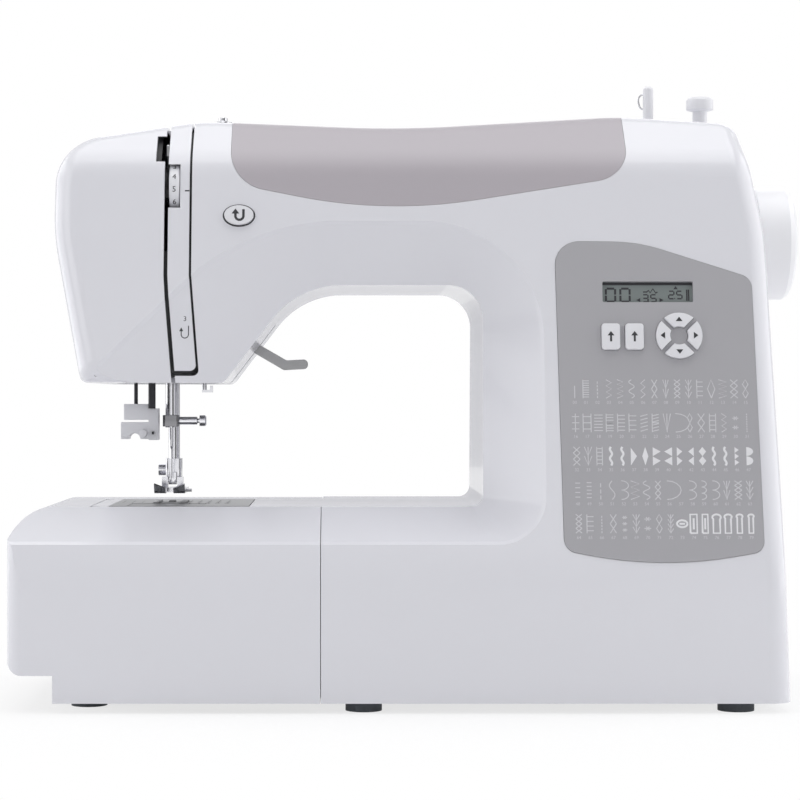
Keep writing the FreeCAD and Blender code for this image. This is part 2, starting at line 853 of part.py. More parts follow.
front_cover = front_cover.cut(shaft_hole).cut(winder_slot).cut(stop_hole)
front_cover = front_cover.cut(lean_oval(*reverse_oval, -20, 20, mm("button_fit")))

# Power inlet opening low on the right side
INLET_Y = f"({SPLIT_Y} - inlet_before_split - inlet_width)"
INLET_Z = f"({BASE_TOP} + inlet_above_base)"
inlet_y = mm(INLET_Y)
inlet_z = mm(INLET_Z)
front_cover = front_cover.cut(
    block(
        (mm(TOWER_RIGHT) - 30, FAR),
        (inlet_y - mm("panel_gap"), inlet_y + mm("inlet_width") + mm("panel_gap")),
        (inlet_z - mm("panel_gap"), inlet_z + mm("inlet_height") + mm("panel_gap")),
    )
)

# Ears and pins on the back that carry the handle
HANDLE_X = f"({NEEDLE_X} + 63.5 + trough_length / 2)"
HANDLE_Z = f"({TOP_Z} - 22)"
BACK_RISE = f"({ARM_Z} + shoulder_above_arm + shoulder_depth - lean_start)"
BACK_RUN = f"sqrt({BACK_RISE} ^ 2 + back_draft ^ 2)"
HANDLE_BACK = f"({BACK} - ({HANDLE_Z} - lean_start) * back_draft / {BACK_RISE})"
HANDLE_OUT = f"({HANDLE_BACK} + handle_gap + handle_bar)"
HANDLE_AXIS = (
    f"({HANDLE_OUT} - handle_bar / 2 * {BACK_RISE} / {BACK_RUN})",
    f"({HANDLE_Z} - handle_bar / 2 * back_draft / {BACK_RUN})",
)
back_slope = math.atan2(mm("back_draft"), mm(BACK_RISE))
handle_axis = [mm(expression) for expression in HANDLE_AXIS]
rear_cover = rear_half
for side in (-1, 1):
    edge = mm(HANDLE_X) + side * (mm("handle_width") / 2 + 0.6)
    ear = block(
        (min(edge, edge + side * 6), max(edge, edge + side * 6)),
        (mm(HANDLE_BACK) - 2, handle_axis[0] + 5),
        (handle_axis[1] - 6, handle_axis[1] + 6),
    )
    pin = Part.makeCylinder(
        mm("handle_pin_radius"), 10, Vector(edge + side, *handle_axis), Vector(-side, 0, 0)
    )
    rear_cover = rear_cover.fuse(ear).fuse(pin)

# Thread guide hole on top of the head
guide_x = f"({NEEDLE_X} + 26.7)"
guide_y = f"({NEEDLE_Y} + 10)"
front_cover = front_cover.cut(
    Part.makeCylinder(1.5, 40, Vector(mm(guide_x), mm(guide_y), mm(TOP_Z) - 20))
)

feature("front_cover", front_cover)
feature("face_cover", face_cover)
strip_item = feature("thread_strip", strip)
feature("arm_band", arm_band)
feature("rear_cover", rear_cover)


# Black channel that lines the inside of the thread slots and carries the dial's axle
def channel_shape():
    """A skin inside the front wall, open where the take-up lever and the dial work."""
    left, right = mm(NEEDLE_X) - 5, mm(NEEDLE_X) + 22
    deeper = cover_body(wall + mm("channel_wall"), floor_z - 40, mm("edge_round") * 0.45)
    lining = hollow.cut(deeper).common(
        block((left, right), (-FAR, slot_end), (mm(HEAD_Z) + wall + 2, window_top + 2))
    )
    window = block(
        (mm(STRIP_X) - 4, mm(dial_end) + 1), (-FAR, slot_end), (mm(SHAFT_Z) - 8, FAR)
    )
    arm = block(
        (mm(dial_end) + 1, mm(dial_end) + 4),
        (mm(dial_y) - mm("dial_radius"), mm(dial_y) + 4),
        (mm(dial_z) - 4, mm(dial_z) + 4),
    ).common(hollow)
    axle = Part.makeCylinder(
        mm("axle_radius"),
        mm("dial_width") + 1.6,
        Vector(mm(dial_end) + 1.5, mm(dial_y), mm(dial_z)),
        Vector(-1, 0, 0),
    )
    return lining.cut(window).fuse(arm).fuse(axle)


dial_x = f"({STRIP_X} + 0.3)"
dial_end = f"({dial_x} + dial_width)"
dial_z = f"({TOP_Z} - dial_drop - 2.4)"
dial_y = f"({FRONT} + ({dial_z} - lean_start) * tan(front_lean * 1 deg) + dial_radius - dial_proud)"
feature("thread_channel", channel_shape())
strip_window = block(
    (mm(STRIP_X) - 1, mm(dial_end) + 0.4),
    (-FAR, mm(dial_y) + mm("dial_radius")),
    (mm(dial_z) - mm("dial_radius") * 0.78, mm(dial_z) + mm("dial_radius") * 0.92),
)
strip_item.Shape = strip.cut(strip_window)

node("tension_dial", turned(
    "tension_dial", "X", (dial_x, dial_y, dial_z),
    [
        ("axle_radius + running_fit", "0"),
        ("dial_radius - 0.6", "0"),
        ("dial_radius", "0.6"),
        ("dial_radius", "dial_width - 0.6"),
        ("dial_radius - 0.6", "dial_width"),
        ("axle_radius + running_fit", "dial_width"),
    ],
))

# Control panel, display, buttons and keys on the leaning plane
panel_top = mm("control_proud")
panel_back = panel_top - mm("control_thickness")
control_left = mm(TOWER_IN) + mm("control_inset")
control_top = mm("control_top")
display = (control_left + mm("display_inset"), up_slope(control_top - mm("display_below_top")))
button_row = up_slope(control_top - mm("buttons_below_top"))
button_left = control_left + mm("buttons_inset")
button_spots = {"left_button": button_left, "right_button": button_left + mm("button_pitch")}
ring = (control_left + mm("keys_inset"), up_slope(control_top - mm("keys_below_top")))
button_half = mm("button_width") / 2
button_tall = mm("button_height") / 2
display_outline = rectangle(
    display[0], display[0] + mm("display_width"), display[1], display[1] + mm("display_height"), 0.8
)


def key_outline(quarter, grow=0.0):
    """One arrow key: a quarter of a ring with straight flanks; grow widens it all round."""
    outer_radius = mm("key_ring_radius") + grow
    inner_radius = mm("key_hole_radius") - grow
    half = mm("key_gap") / 2 - grow
    turn = math.radians(90 * quarter)

    def spot(radius, angle):
        u = radius * math.cos(angle + turn)
        w = radius * math.sin(angle + turn)
        return lambda rise: lean_point(ring[0] + u, ring[1] + w, rise)

    big = math.pi / 4 - math.asin(half / outer_radius)
    small = math.pi / 4 - math.asin(half / inner_radius)
    return spot, outer_radius, inner_radius, big, small


def key_solid(quarter, low, high, grow=0.0):
    spot, outer_radius, inner_radius, big, small = key_outline(quarter, grow)
    outside = [spot(outer_radius, angle)(low) for angle in (-big, 0, big)]
    inside = [spot(inner_radius, angle)(low) for angle in (small, 0, -small)]
    edges = [
        Part.Arc(*outside).toShape(),
        Part.makeLine(outside[2], inside[0]),
        Part.Arc(*inside).toShape(),
        Part.makeLine(inside[2], outside[0]),
    ]
    return Part.Face(Part.Wire(edges)).extrude(lean_point(0, 0, high) - lean_point(0, 0, low))


control = lean_prism(control_outline(), panel_back, panel_top)
control = control.cut(lean_prism(display_outline, -20, 20))
fit = mm("button_fit")
flange = 0.9
stem = -8.5
for label, u in button_spots.items():
    outline = rectangle(
        u - button_half, u + button_half, button_row - button_tall, button_row + button_tall, 1.5
    )
    control = control.cut(lean_prism(outline, -20, 20, fit))
    cap = lean_prism(outline, panel_back - 2, panel_top + mm("button_proud"))
    lip = lean_prism(outline, panel_back - 2, panel_back - 0.1, flange)
    post = lean_prism(rectangle(u - 2, u + 2, button_row - 2, button_row + 2, 0), stem, panel_back - 1)
    feature(label, cap.fuse(lip).fuse(post))
for quarter, label in enumerate(("key_right", "key_up", "key_left", "key_down")):
    control = control.cut(key_solid(quarter, -20, 20, fit))
    cap = key_solid(quarter, panel_back - 2, panel_top + mm("button_proud"))
    lip = key_solid(quarter, panel_back - 2, panel_back - 0.1, flange * 0.6)
    angle = math.radians(90 * quarter)
    middle = (mm("key_ring_radius") + mm("key_hole_radius")) / 2
    u, w = ring[0] + middle * math.cos(angle), ring[1] + middle * math.sin(angle)
    post = lean_prism(rectangle(u - 1.5, u + 1.5, w - 1.5, w + 1.5, 0), stem, panel_back - 1)
    feature(label, cap.fuse(lip).fuse(post))
feature("control_panel", control)
feature("lcd_display", lean_prism(display_outline, panel_back - 3, panel_back, 2.5))
board_x = (
    control_left + mm("board_side_margin"),
    control_left + mm("control_width") - mm("board_side_margin"),
)
board_w = (
    up_slope(mm("control_bottom") + mm("board_low_margin")),
    up_slope(control_top - mm("board_top_margin")),
)
board = lean_prism(rectangle(*board_x, *board_w, 2), stem - 3, stem - 1.4)
post_inset = mm("board_post_inset")
post_radius = mm("board_post_radius")
post_half = post_radius + 0.1
for u in (board_x[0] + post_inset, board_x[1] - post_inset):
    for w in (board_w[0] + post_inset, board_w[1] - post_inset):
        outline = rectangle(u - post_half, u + post_half, w - post_half, w + post_half, post_radius)
        board = board.fuse(lean_prism(outline, stem - 2, panel_back))
feature("circuit_board", board)

# Reverse button, held in the cover by its lip
reverse_cap = lean_oval(*reverse_oval, -wall - 3, 2.0)
reverse_lip = lean_oval(*reverse_oval, -wall - 3, -wall - 0.1, 1.4)
feature("reverse_button", reverse_cap.fuse(reverse_lip))


# Base tray and feet
base_right = f"({TOWER_RIGHT} - cover_wall - edge_round * 0.45 - 2)"
base_main = box(
    "BaseMain",
    (f"{SEAM_X} + cover_wall + 0.5", base_right),
    (f"{FRONT} + cover_wall + 0.5", f"{BACK} - cover_wall - 0.5"),
    ("foot_height", BASE_TOP),
)
STEP_X = f"({LEFT} + table_step_in + base_behind_step)"
STEP_FRONT = f"({FRONT} + base_front_inset)"
STEP_BACK = f"({STEP_FRONT} + base_left_depth)"
base_left = box(
    "BaseLeft",
    (STEP_X, f"{SEAM_X} + 5"),
    (STEP_FRONT, STEP_BACK),
    ("foot_height", BASE_TOP),
)
node("base_tray", fuse("BaseTray", base_main, base_left))
foot_spots = (
    (f"{STEP_X} + foot_inset", f"{STEP_FRONT} + foot_inset"),
    (f"{STEP_X} + foot_inset", f"{STEP_BACK} - foot_inset"),
    (f"{SEAM_X} + foot_from_seam", f"{FRONT} + foot_from_front"),
    (f"{TOWER_RIGHT} - foot_from_right", f"{FRONT} + foot_from_front"),
    (f"{TOWER_RIGHT} - foot_from_right", f"{BACK} - foot_from_back"),
    (f"{SEAM_X} + foot_from_seam", f"{BACK} - foot_from_back"),
)
feet = [
    rod(f"Foot{k}", "Z", spot, ("0", "foot_height"), "foot_radius") for k, spot in enumerate(foot_spots)
]
node("feet", group("Feet", *feet))


# Extension table: a hollow U round the free arm
def table_outline(floor, step_floor):
    left, seam, bed = mm(LEFT), mm(f"{SEAM_X} - table_seam"), mm("bed_height")
    return [
        (seam, floor, 0),
        (seam, bed, 0),
        (left, bed, mm("table_end_round")),
        (left, step_floor, mm("table_corner") if step_floor > 0 else 0),
        (left + mm("table_step_in"), step_floor, 0),
        (left + mm("table_step_in"), floor, 0),
    ]


def table_body(inset, floor, step_floor):
    seam = mm(f"{SEAM_X} - table_seam")
    front, back = mm(FRONT), mm(FRONT) + mm("table_depth")
    corner = mm("table_corner")
    plan = [(seam, front, 0), (seam, back, 0), (mm(LEFT), back, corner * 4), (mm(LEFT), front, corner)]
    bed, start = mm("bed_height"), mm("lean_start")
    lean_top = front + (bed - start) * math.tan(LEAN)
    side = [(front, -60, 0), (front, start, 150), (lean_top, bed, 0), (back, bed, corner), (back, -60, 0)]
    solid = prism(table_outline(floor, step_floor), "XZ", -FAR, FAR, -inset)
    solid = solid.common(prism(plan, "XY", -60, 200, -inset))
    solid = solid.common(prism(side, "YZ", -FAR, FAR, -inset))
    gap = mm("slide_fit") + (mm("table_wall") if inset else 0)
    arm_way = block(
        (mm(FREE_LEFT) - gap, FAR),
        (mm(ARM_FRONT) - gap, mm(ARM_BACK) + gap),
        (-60, FAR),
    )
    return solid.cut(arm_way).cut(scoop(inset))


table = table_body(0.0, floor_z, floor_z + mm("table_step_rise"))
table = table.cut(table_body(mm("table_wall"), -40, -39))
base_clear = block(
    (mm(STEP_X) - mm("slide_fit"), FAR),
    (mm(STEP_FRONT) - mm("slide_fit"), mm(STEP_BACK) + mm("slide_fit")),
    (-FAR, mm(BASE_TOP) + mm("slide_fit")),
)
feature("extension_table", table.cut(base_clear))

# Free arm with the needle plate's seat
arm_outer = box("FreeArmOuter", (FREE_LEFT, SEAM_X), (ARM_FRONT, ARM_BACK), (FREE_Z, "bed_height"))
arm_round = rounded(
    "FreeArmRound", arm_outer, "table_wall * 3",
    lambda edge: along("X")(edge) and edge.BoundBox.ZMax < mm("bed_height") - 1
    or along("Z")(edge) and edge.BoundBox.XMax < mm(FREE_LEFT) + 1,
)
arm_inner = box(
    "FreeArmInner",
    (f"{FREE_LEFT} + table_wall * 2", f"{SEAM_X} + 1"),
    (f"{ARM_FRONT} + table_wall", f"{ARM_BACK} - table_wall"),
    (f"{FREE_Z} + table_wall", "bed_height - table_wall"),
)
plate_x = (f"{NEEDLE_X} - plate_left", f"{NEEDLE_X} + plate_right")
plate_y = (f"{ARM_FRONT} + 1.5", f"{ARM_BACK} - 1.5")
seat = box(
    "PlateSeat",
    (f"{plate_x[0]} - plate_fit", f"{plate_x[1]} + plate_fit"),
    (f"{plate_y[0]} - plate_fit", f"{plate_y[1]} + plate_fit"),
    ("bed_height - plate_thickness", "bed_height + 5"),
)
seat_hole = box(
    "PlateHole",
    (f"{plate_x[0]} + plate_ledge", f"{plate_x[1]} - plate_ledge"),
    (f"{plate_y[0]} + plate_ledge", f"{plate_y[1]} - plate_ledge"),
    ("bed_height - table_wall - 1", "bed_height"),
)
node("free_arm_cover", cut("FreeArm", arm_round, arm_inner, seat, seat_hole))

# Needle plate with its slots, bobbin cover and feed dog
plate_blank = box("PlateBlank", plate_x, plate_y, ("bed_height - plate_thickness", "bed_height + 0.2"))
plate_round = rounded("PlateRound", plate_blank, "plate_fit * 5", along("Z"))
needle_slot = box(
    "NeedleSlot", (f"{NEEDLE_X} - 4.3", f"{NEEDLE_X} + 4.3"), (f"{NEEDLE_Y} - 1.2", f"{NEEDLE_Y} + 1.2"),
    ("bed_height - 10", "bed_height + 10"),
)
row_start = f"({NEEDLE_Y} - 12)"
row_end = f"({row_start} + feed_row_length)"
row_places = (
    ("Left", f"({NEEDLE_X} - feed_row_pitch)", row_start),
    ("Right", f"({NEEDLE_X} + feed_row_pitch)", row_start),
    ("Middle", NEEDLE_X, f"({row_end} - 7.5)"),
)
row_slots = [
    box(
        f"RowSlot{name}",
        (f"{x} - feed_row_width / 2 - side_fit", f"{x} + feed_row_width / 2 + side_fit"),
        (f"{begin} - feed_travel - side_fit", f"{row_end} + feed_travel + side_fit"),
        ("bed_height - 10", "bed_height + 10"),
    )
    for name, x, begin in row_places
]
cover_x = (f"({NEEDLE_X} - bobbin_cover_width / 2)", f"({NEEDLE_X} + bobbin_cover_width / 2)")
cover_back = f"({row_start} - feed_travel - side_fit * 2 - 1.2)"
cover_y = (f"({cover_back} - bobbin_cover_length)", cover_back)
cover_hole = box(
    "CoverHole",
    (f"{cover_x[0]} - plate_fit", f"{cover_x[1]} + plate_fit"),
    (f"{cover_y[0]} - plate_fit", f"{cover_y[1]} + plate_fit"),
    ("bed_height - 10", "bed_height + 10"),
)
node("needle_plate", cut("NeedlePlate", plate_round, needle_slot, cover_hole, *row_slots))
cover_blank = box("CoverBlank", cover_x, cover_y, ("bed_height - plate_thickness", "bed_height + 0.1"))
node("bobbin_cover", rounded("BobbinCover", cover_blank, "plate_fit * 4", along("Z")))

feed_rows = [
    box(
        f"FeedRow{name}",
        (f"{x} - feed_row_width / 2", f"{x} + feed_row_width / 2"),
        (begin, row_end),
        ("bed_height - 5.5", "bed_height + feed_proud"),
    )
    for name, x, begin in row_places
]
feed_base = box(
    "FeedBase",
    (
        f"{NEEDLE_X} - feed_row_pitch - feed_row_width / 2",
        f"{NEEDLE_X} + feed_row_pitch + feed_row_width / 2",
    ),
    (f"{row_end} - 8", f"{row_end} + 6"),
    ("bed_height - 6", "bed_height - 3.5"),
)
feed_leg = box(
    "FeedLeg",
    (f"{NEEDLE_X} - 6", f"{NEEDLE_X} + 6"),
    (f"{row_end} + 4", f"{row_end} + 13"),
    ("bed_height - 15", "bed_height - 3.5"),
)
notches = []
for name, x, begin in row_places:
    for k in range(5):
        notches.append(box(
            f"Notch{name}{k}",
            (f"{x} - feed_row_width", f"{x} + feed_row_width"),
            (f"{row_end} - 1.9 - {k} * 1.7", f"{row_end} - 1.1 - {k} * 1.7"),
            ("bed_height + feed_proud - 0.8", "bed_height + 5"),
        ))
node("feed_dog", cut("FeedDog", fuse("FeedBlank", feed_base, feed_leg, *feed_rows), *notches))

# Rotary hook, bobbin case and bobbin, turned about the hook's upright axis
node("rotary_hook", turned(
    "rotary_hook", "Z", (NEEDLE_X, HOOK_Y, HOOK_Z),
    [
        ("0", f"-({HOOK_Z} - {LOWER_Z} + 15)"),
        ("hook_shaft_radius", f"-({HOOK_Z} - {LOWER_Z} + 15)"),
        ("hook_shaft_radius", f"-({HOOK_Z} - {LOWER_Z} + 5)"),
        ("hook_gear_radius", f"-({HOOK_Z} - {LOWER_Z} + 5)"),
        ("hook_gear_radius", f"-({HOOK_Z} - {LOWER_Z} - 5)"),
        ("hook_shaft_radius", f"-({HOOK_Z} - {LOWER_Z} - 5)"),
        ("hook_shaft_radius", "0"),
        ("hook_radius", "0"),
        ("hook_radius", "hook_height"),
        ("hook_radius - 2.5", "hook_height"),
        ("hook_radius - 2.5", "2"),
        ("0", "2"),
    ],
))
node("bobbin_case", turned(
    "bobbin_case", "Z", (NEEDLE_X, HOOK_Y, f"{HOOK_Z} + 2.5"),
    [
        ("0", "0"),
        ("hook_radius - 3.1", "0"),
        ("hook_radius - 3.1", "hook_height - 3"),
        ("bobbin_radius + 0.6", "hook_height - 3"),
        ("bobbin_radius + 0.6", "1.5"),
        ("0", "1.5"),
    ],
))
node("bobbin", turned(
    "bobbin", "Z", (NEEDLE_X, HOOK_Y, f"{HOOK_Z} + 4.4"),
    [
        ("3", "0"),
        ("bobbin_radius", "0"),
        ("bobbin_radius", "1.1"),
        ("4.5", "1.1"),
        ("4.5", "bobbin_height - 1.1"),
        ("bobbin_radius", "bobbin_height - 1.1"),
        ("bobbin_radius", "bobbin_height"),
        ("3", "bobbin_height"),
    ],
))

# Lower shaft with its gear and pulley in one turned piece
shaft_start = f"({NEEDLE_X} - 8)"
node("lower_shaft", turned(
    "lower_shaft", "X", (shaft_start, LOWER_Y, LOWER_Z),
    [
        ("0", "0"),
        ("lower_shaft_radius", "0"),
        ("lower_shaft_radius", "2.5"),
        ("lower_gear_radius", "2.5"),
        ("lower_gear_radius", "13.5"),
        ("lower_shaft_radius", "13.5"),
        ("lower_shaft_radius", f"{TIMING_X} - {shaft_start}"),
        ("timing_radius", f"{TIMING_X} - {shaft_start}"),
        ("timing_radius", f"{TIMING_X} + timing_width - {shaft_start}"),
        ("lower_shaft_radius", f"{TIMING_X} + timing_width - {shaft_start}"),
        ("lower_shaft_radius", f"{TIMING_X} + timing_width + 4 - {shaft_start}"),
        ("0", f"{TIMING_X} + timing_width + 4 - {shaft_start}"),
    ],
))

# Arm shaft, its pulleys, crank and connecting rod
node("arm_shaft", rod(
    "ArmShaft", "X", (NEEDLE_Y, SHAFT_Z),
    (f"{CRANK_X} + crank_disc_width", f"{WHEEL_X} + wheel_bore_depth"), "shaft_radius",
))


def sleeve(name, axis, centre, span, outside, inside):
    low, high = span
    shaft = rod(name + "Outer", axis, centre, span, outside)
    bore = rod(name + "Bore", axis, centre, (f"{low} - 1", f"{high} + 1"), inside)
    return cut(name, shaft, bore)


timing_span = (TIMING_X, f"{TIMING_X} + timing_width")
drive_span = (DRIVE_X, f"{DRIVE_X} + drive_width")
node("shaft_pulleys", group(
    "ShaftPulleys",
    sleeve("TimingPulley", "X", (NEEDLE_Y, SHAFT_Z), timing_span, "timing_radius", "shaft_radius"),
    sleeve("DrivePulley", "X", (NEEDLE_Y, SHAFT_Z), drive_span, "drive_radius", "shaft_radius"),
))
bush_left = f"({NEEDLE_X} + 27)"
crank_disc = rod(
    "CrankDisc", "X", (NEEDLE_Y, SHAFT_Z), (CRANK_X, f"{CRANK_X} + crank_disc_width"), "crank_disc_radius"
)
rod_x = f"({CRANK_X} - rod_width - 3)"
pin_centre = (NEEDLE_Y, f"{SHAFT_Z} + crank_radius")
crank_pin = rod("CrankPin", "X", pin_centre, (f"{rod_x} - 0.7", f"{CRANK_X} + 1"), "crank_pin_radius")
node("needle_crank", fuse("NeedleCrank", crank_disc, crank_pin))
rod_span = (rod_x, f"{rod_x} + rod_width")
rod_top = rod("RodTop", "X", pin_centre, rod_span, "rod_eye_radius")
rod_low = rod("RodLow", "X", (NEEDLE_Y, STUD_Z), rod_span, "rod_eye_radius")
rod_web = box(
    "RodWeb",
    rod_span,
    (f"{NEEDLE_Y} - 4", f"{NEEDLE_Y} + 4"),
    (STUD_Z, f"{SHAFT_Z} + crank_radius"),
)
rod_ends = (f"{rod_x} - 1", f"{rod_x} + rod_width + 1")
rod_bore = rod("RodBore", "X", pin_centre, rod_ends, "crank_pin_radius + running_fit")
stud_bore = rod("StudBore", "X", (NEEDLE_Y, STUD_Z), rod_ends, "crank_pin_radius")
rod_blank = fuse("RodBlank", rod_top, rod_low, rod_web)
node("connecting_rod", cut("ConnectingRod", rod_blank, rod_bore, stud_bore))


# Belts
def belt(first, first_radius, second, second_radius, low, high):
    """An open belt round two pulleys in the YZ plane."""
    def loop(extra):
        (ya, za), (yb, zb) = first, second
        ra, rb = first_radius + extra, second_radius + extra
        span = math.hypot(yb - ya, zb - za)
        heading = math.atan2(zb - za, yb - ya)
        swing = math.acos((ra - rb) / span)

        def spot(y, z, radius, angle):
            return Vector(low, y + radius * math.cos(angle), z + radius * math.sin(angle))

        a1, a2 = spot(ya, za, ra, heading + swing), spot(ya, za, ra, heading - swing)
        b1, b2 = spot(yb, zb, rb, heading + swing), spot(yb, zb, rb, heading - swing)
        return Part.Wire([
            Part.makeLine(a2, b2),
            Part.Arc(b2, spot(yb, zb, rb, heading), b1).toShape(),
            Part.makeLine(b1, a1),
            Part.Arc(a1, spot(ya, za, ra, heading + math.pi), a2).toShape(),
        ])
    gap = mm("belt_fit")
    run = Vector(high - low, 0, 0)
    return Part.Face(loop(gap + mm("belt_thickness"))).extrude(run).cut(Part.Face(loop(gap)).extrude(run))


shaft_spot = (mm(NEEDLE_Y), mm(SHAFT_Z))
lower_spot = (mm(LOWER_Y), mm(LOWER_Z))
motor_spot = (mm(MOTOR_Y), mm("motor_height"))
timing = mm("timing_radius")
feature("timing_belt", belt(
    shaft_spot, timing, lower_spot, timing, mm(TIMING_X) + 1, mm(f"{TIMING_X} + timing_width - 1")
))
feature("drive_belt", belt(
    shaft_spot, mm("drive_radius"), motor_spot, mm("motor_pulley_radius"),
    mm(DRIVE_X) + 1, mm(f"{DRIVE_X} + drive_width - 1"),
))

# Motor, motor pulley and handwheel
motor_can = rod(
    "MotorCan",
    "X",
    (MOTOR_Y, "motor_height"),
    (COLUMN_END, f"{COLUMN_END} + motor_length"),
    "motor_radius",
)
motor_bore = rod(
    "MotorBore", "X", (MOTOR_Y, "motor_height"),
    (f"{COLUMN_END} + motor_length - 20", f"{COLUMN_END} + motor_length + 1"),
    "motor_shaft_radius + running_fit",
)
node("motor", cut("Motor", motor_can, motor_bore))
motor_tip = f"({COLUMN_END} + motor_length - 19)"
node("motor_pulley", turned(
    "motor_pulley", "X", (motor_tip, MOTOR_Y, "motor_height"),
    [
        ("0", "0"),
        ("motor_shaft_radius", "0"),
        ("motor_shaft_radius", f"{DRIVE_X} - {motor_tip}"),
        ("motor_pulley_radius", f"{DRIVE_X} - {motor_tip}"),
        ("motor_pulley_radius", f"{DRIVE_X} + drive_width - {motor_tip}"),
        ("0", f"{DRIVE_X} + drive_width - {motor_tip}"),
    ],
))
wheel_width = f"({RIGHT} - {WHEEL_X})"
node("handwheel", turned(
    "handwheel", "X", (WHEEL_X, NEEDLE_Y, SHAFT_Z),
    [
        ("shaft_radius", "0"),
        ("wheel_radius - 1.5", "0"),
        ("wheel_radius", "1.5"),
        ("wheel_radius", f"{wheel_width} - wheel_dome"),
        ("wheel_radius - 1.6", f"{wheel_width} - wheel_dome * 0.5"),
        ("wheel_radius - 5", f"{wheel_width} - wheel_dome * 0.15"),
        ("wheel_radius - 11", wheel_width),
        ("0", wheel_width),
        ("0", "wheel_bore_depth"),
        ("shaft_radius", "wheel_bore_depth"),
    ],
))

# Needle-bar cradle, which swings about its upper pin
cradle_x = (f"({NEEDLE_X} - 14.5)", f"({NEEDLE_X} - 10.5)")
cradle_y = (f"{NEEDLE_Y} - 7", f"{NEEDLE_Y} + 7")
cradle_strip = box("CradleStrip", cradle_x, cradle_y, (f"{HEAD_Z} + 7.5", f"{CRADLE_Z} + 6"))
lug_x = (cradle_x[0], f"{NEEDLE_X} + 6")
cradle_low = box("CradleLow", lug_x, cradle_y, (f"{HEAD_Z} + 7.5", f"{HEAD_Z} + 12.5"))
cradle_mid = box("CradleMid", lug_x, cradle_y, (f"{STUD_Z} + 6", f"{STUD_Z} + 14"))
cradle_eye = box(
    "CradleEye", (cradle_x[0], f"{NEEDLE_X} + 7"), (f"{NEEDLE_Y} - 4", f"{NEEDLE_Y} + 4"),
    (f"{CRADLE_Z} - 7", f"{CRADLE_Z} + 6"),
)
bar_bore = rod(
    "CradleBore", "Z", (NEEDLE_X, NEEDLE_Y), (HEAD_Z, f"{STUD_Z} + 20"), "needle_bar_radius + running_fit"
)
eye_bore = rod(
    "EyeBore", "Y", (NEEDLE_X, CRADLE_Z), (f"{NEEDLE_Y} - 10", f"{NEEDLE_Y} + 10"),
    "cradle_pin_radius + running_fit",
)
node("needle_bar_cradle", cut(
    "Cradle", fuse("CradleBlank", cradle_strip, cradle_low, cradle_mid, cradle_eye), bar_bore, eye_bore
))

# Needle bar with its driving stud, needle clamp, clamp screw and needle
bar_low = f"({HEAD_Z} - needle_bar_below)"
bar = rod("Bar", "Z", (NEEDLE_X, NEEDLE_Y), (bar_low, f"{CRADLE_Z} - 9"), "needle_bar_radius")
bar_block = box(
    "BarBlock", (f"{NEEDLE_X} - 6.5", f"{NEEDLE_X} + 6.5"), (f"{NEEDLE_Y} - 6", f"{NEEDLE_Y} + 6"),
    (f"{STUD_Z} - 4", f"{STUD_Z} + 4"),
)
bar_stud = rod(
    "BarStud", "X", (NEEDLE_Y, STUD_Z), (f"{NEEDLE_X} + 6", f"{rod_x} - 2.2"), "crank_pin_radius - 0.5"
)
node("needle_bar", fuse("NeedleBar", bar, bar_block, bar_stud))
clamp_z = (f"({bar_low} + 0.5)", f"({bar_low} + 0.5 + clamp_height)")
clamp_block = box(
    "ClampBlock", (f"{NEEDLE_X} - clamp_width / 2", f"{NEEDLE_X} + clamp_width / 2"),
    (f"{NEEDLE_Y} - 5", f"{NEEDLE_Y} + 5"), clamp_z,
)
clamp_bore = rod(
    "ClampBore",
    "Z",
    (NEEDLE_X, NEEDLE_Y),
    (f"{bar_low} - 5", f"{bar_low} + 20"),
    "needle_bar_radius",
)
clamp_round = rounded("ClampRound", clamp_block, "running_fit * 30", along("Z"))
node("needle_clamp", cut("NeedleClamp", clamp_round, clamp_bore))
screw_start = f"({NEEDLE_X} + clamp_width / 2)"
screw_z = f"({bar_low} + 0.5 + clamp_height / 2)"
node("needle_clamp_screw", turned(
    "needle_clamp_screw", "X", (screw_start, NEEDLE_Y, screw_z),
    [
        ("0", "0"),
        ("clamp_sleeve_radius", "0"),
        ("clamp_sleeve_radius", "clamp_screw_length - clamp_knob_width - 1.4"),
        ("clamp_sleeve_radius - 0.9", "clamp_screw_length - clamp_knob_width - 1"),
        ("clamp_sleeve_radius - 0.9", "clamp_screw_length - clamp_knob_width"),
        ("clamp_knob_radius", "clamp_screw_length - clamp_knob_width"),
        ("clamp_knob_radius", "clamp_screw_length - 0.5"),
        ("clamp_knob_radius - 0.5", "clamp_screw_length"),
        ("0", "clamp_screw_length"),
    ],
))
needle_tip = f"({HEAD_Z} - needle_drop)"
node("needle", turned(
    "needle", "Z", (NEEDLE_X, NEEDLE_Y, needle_tip),
    [
        ("0", "0"),
        ("needle_radius", "4"),
        ("needle_radius", "17"),
        ("shank_radius", "18.5"),
        ("shank_radius", f"{bar_low} - {needle_tip}"),
        ("0", f"{bar_low} - {needle_tip}"),
    ],
))

# Take-up lever: a thin arm with an eye, on a stud before the needle bar
lever_x = f"({SLOT_X} + slot_left_width / 2 - take_up_thickness / 2)"
lever_turn = Rotation(Vector(0, 1, 0), Vector(0, 0, 1), Vector(1, 0, 0), "ZXY")
lever_blank = plate(
    "take_up_blank", lever_turn, (lever_x, TAKE_UP_Y, TAKE_UP_Z),
    [
        ("4", "-2"),
        ("3", "3.5"),
        ("-(take_up_reach - 5)", "take_up_rise + 2"),
        ("-(take_up_reach + 3)", "take_up_rise + 3"),
        ("-(take_up_reach + 3.5)", "take_up_rise - 3"),
        ("-take_up_reach + 1", "take_up_rise - 6"),
        ("-4.5", "-2"),
        ("-0.5", "-4.5"),
    ],
    "take_up_thickness", "take_up_thickness * 0.8",
)
lever_ends = (f"{lever_x} - 5", f"{lever_x} + 5")
lever_bore = rod("LeverBore", "X", (TAKE_UP_Y, TAKE_UP_Z), lever_ends, "axle_radius + running_fit")
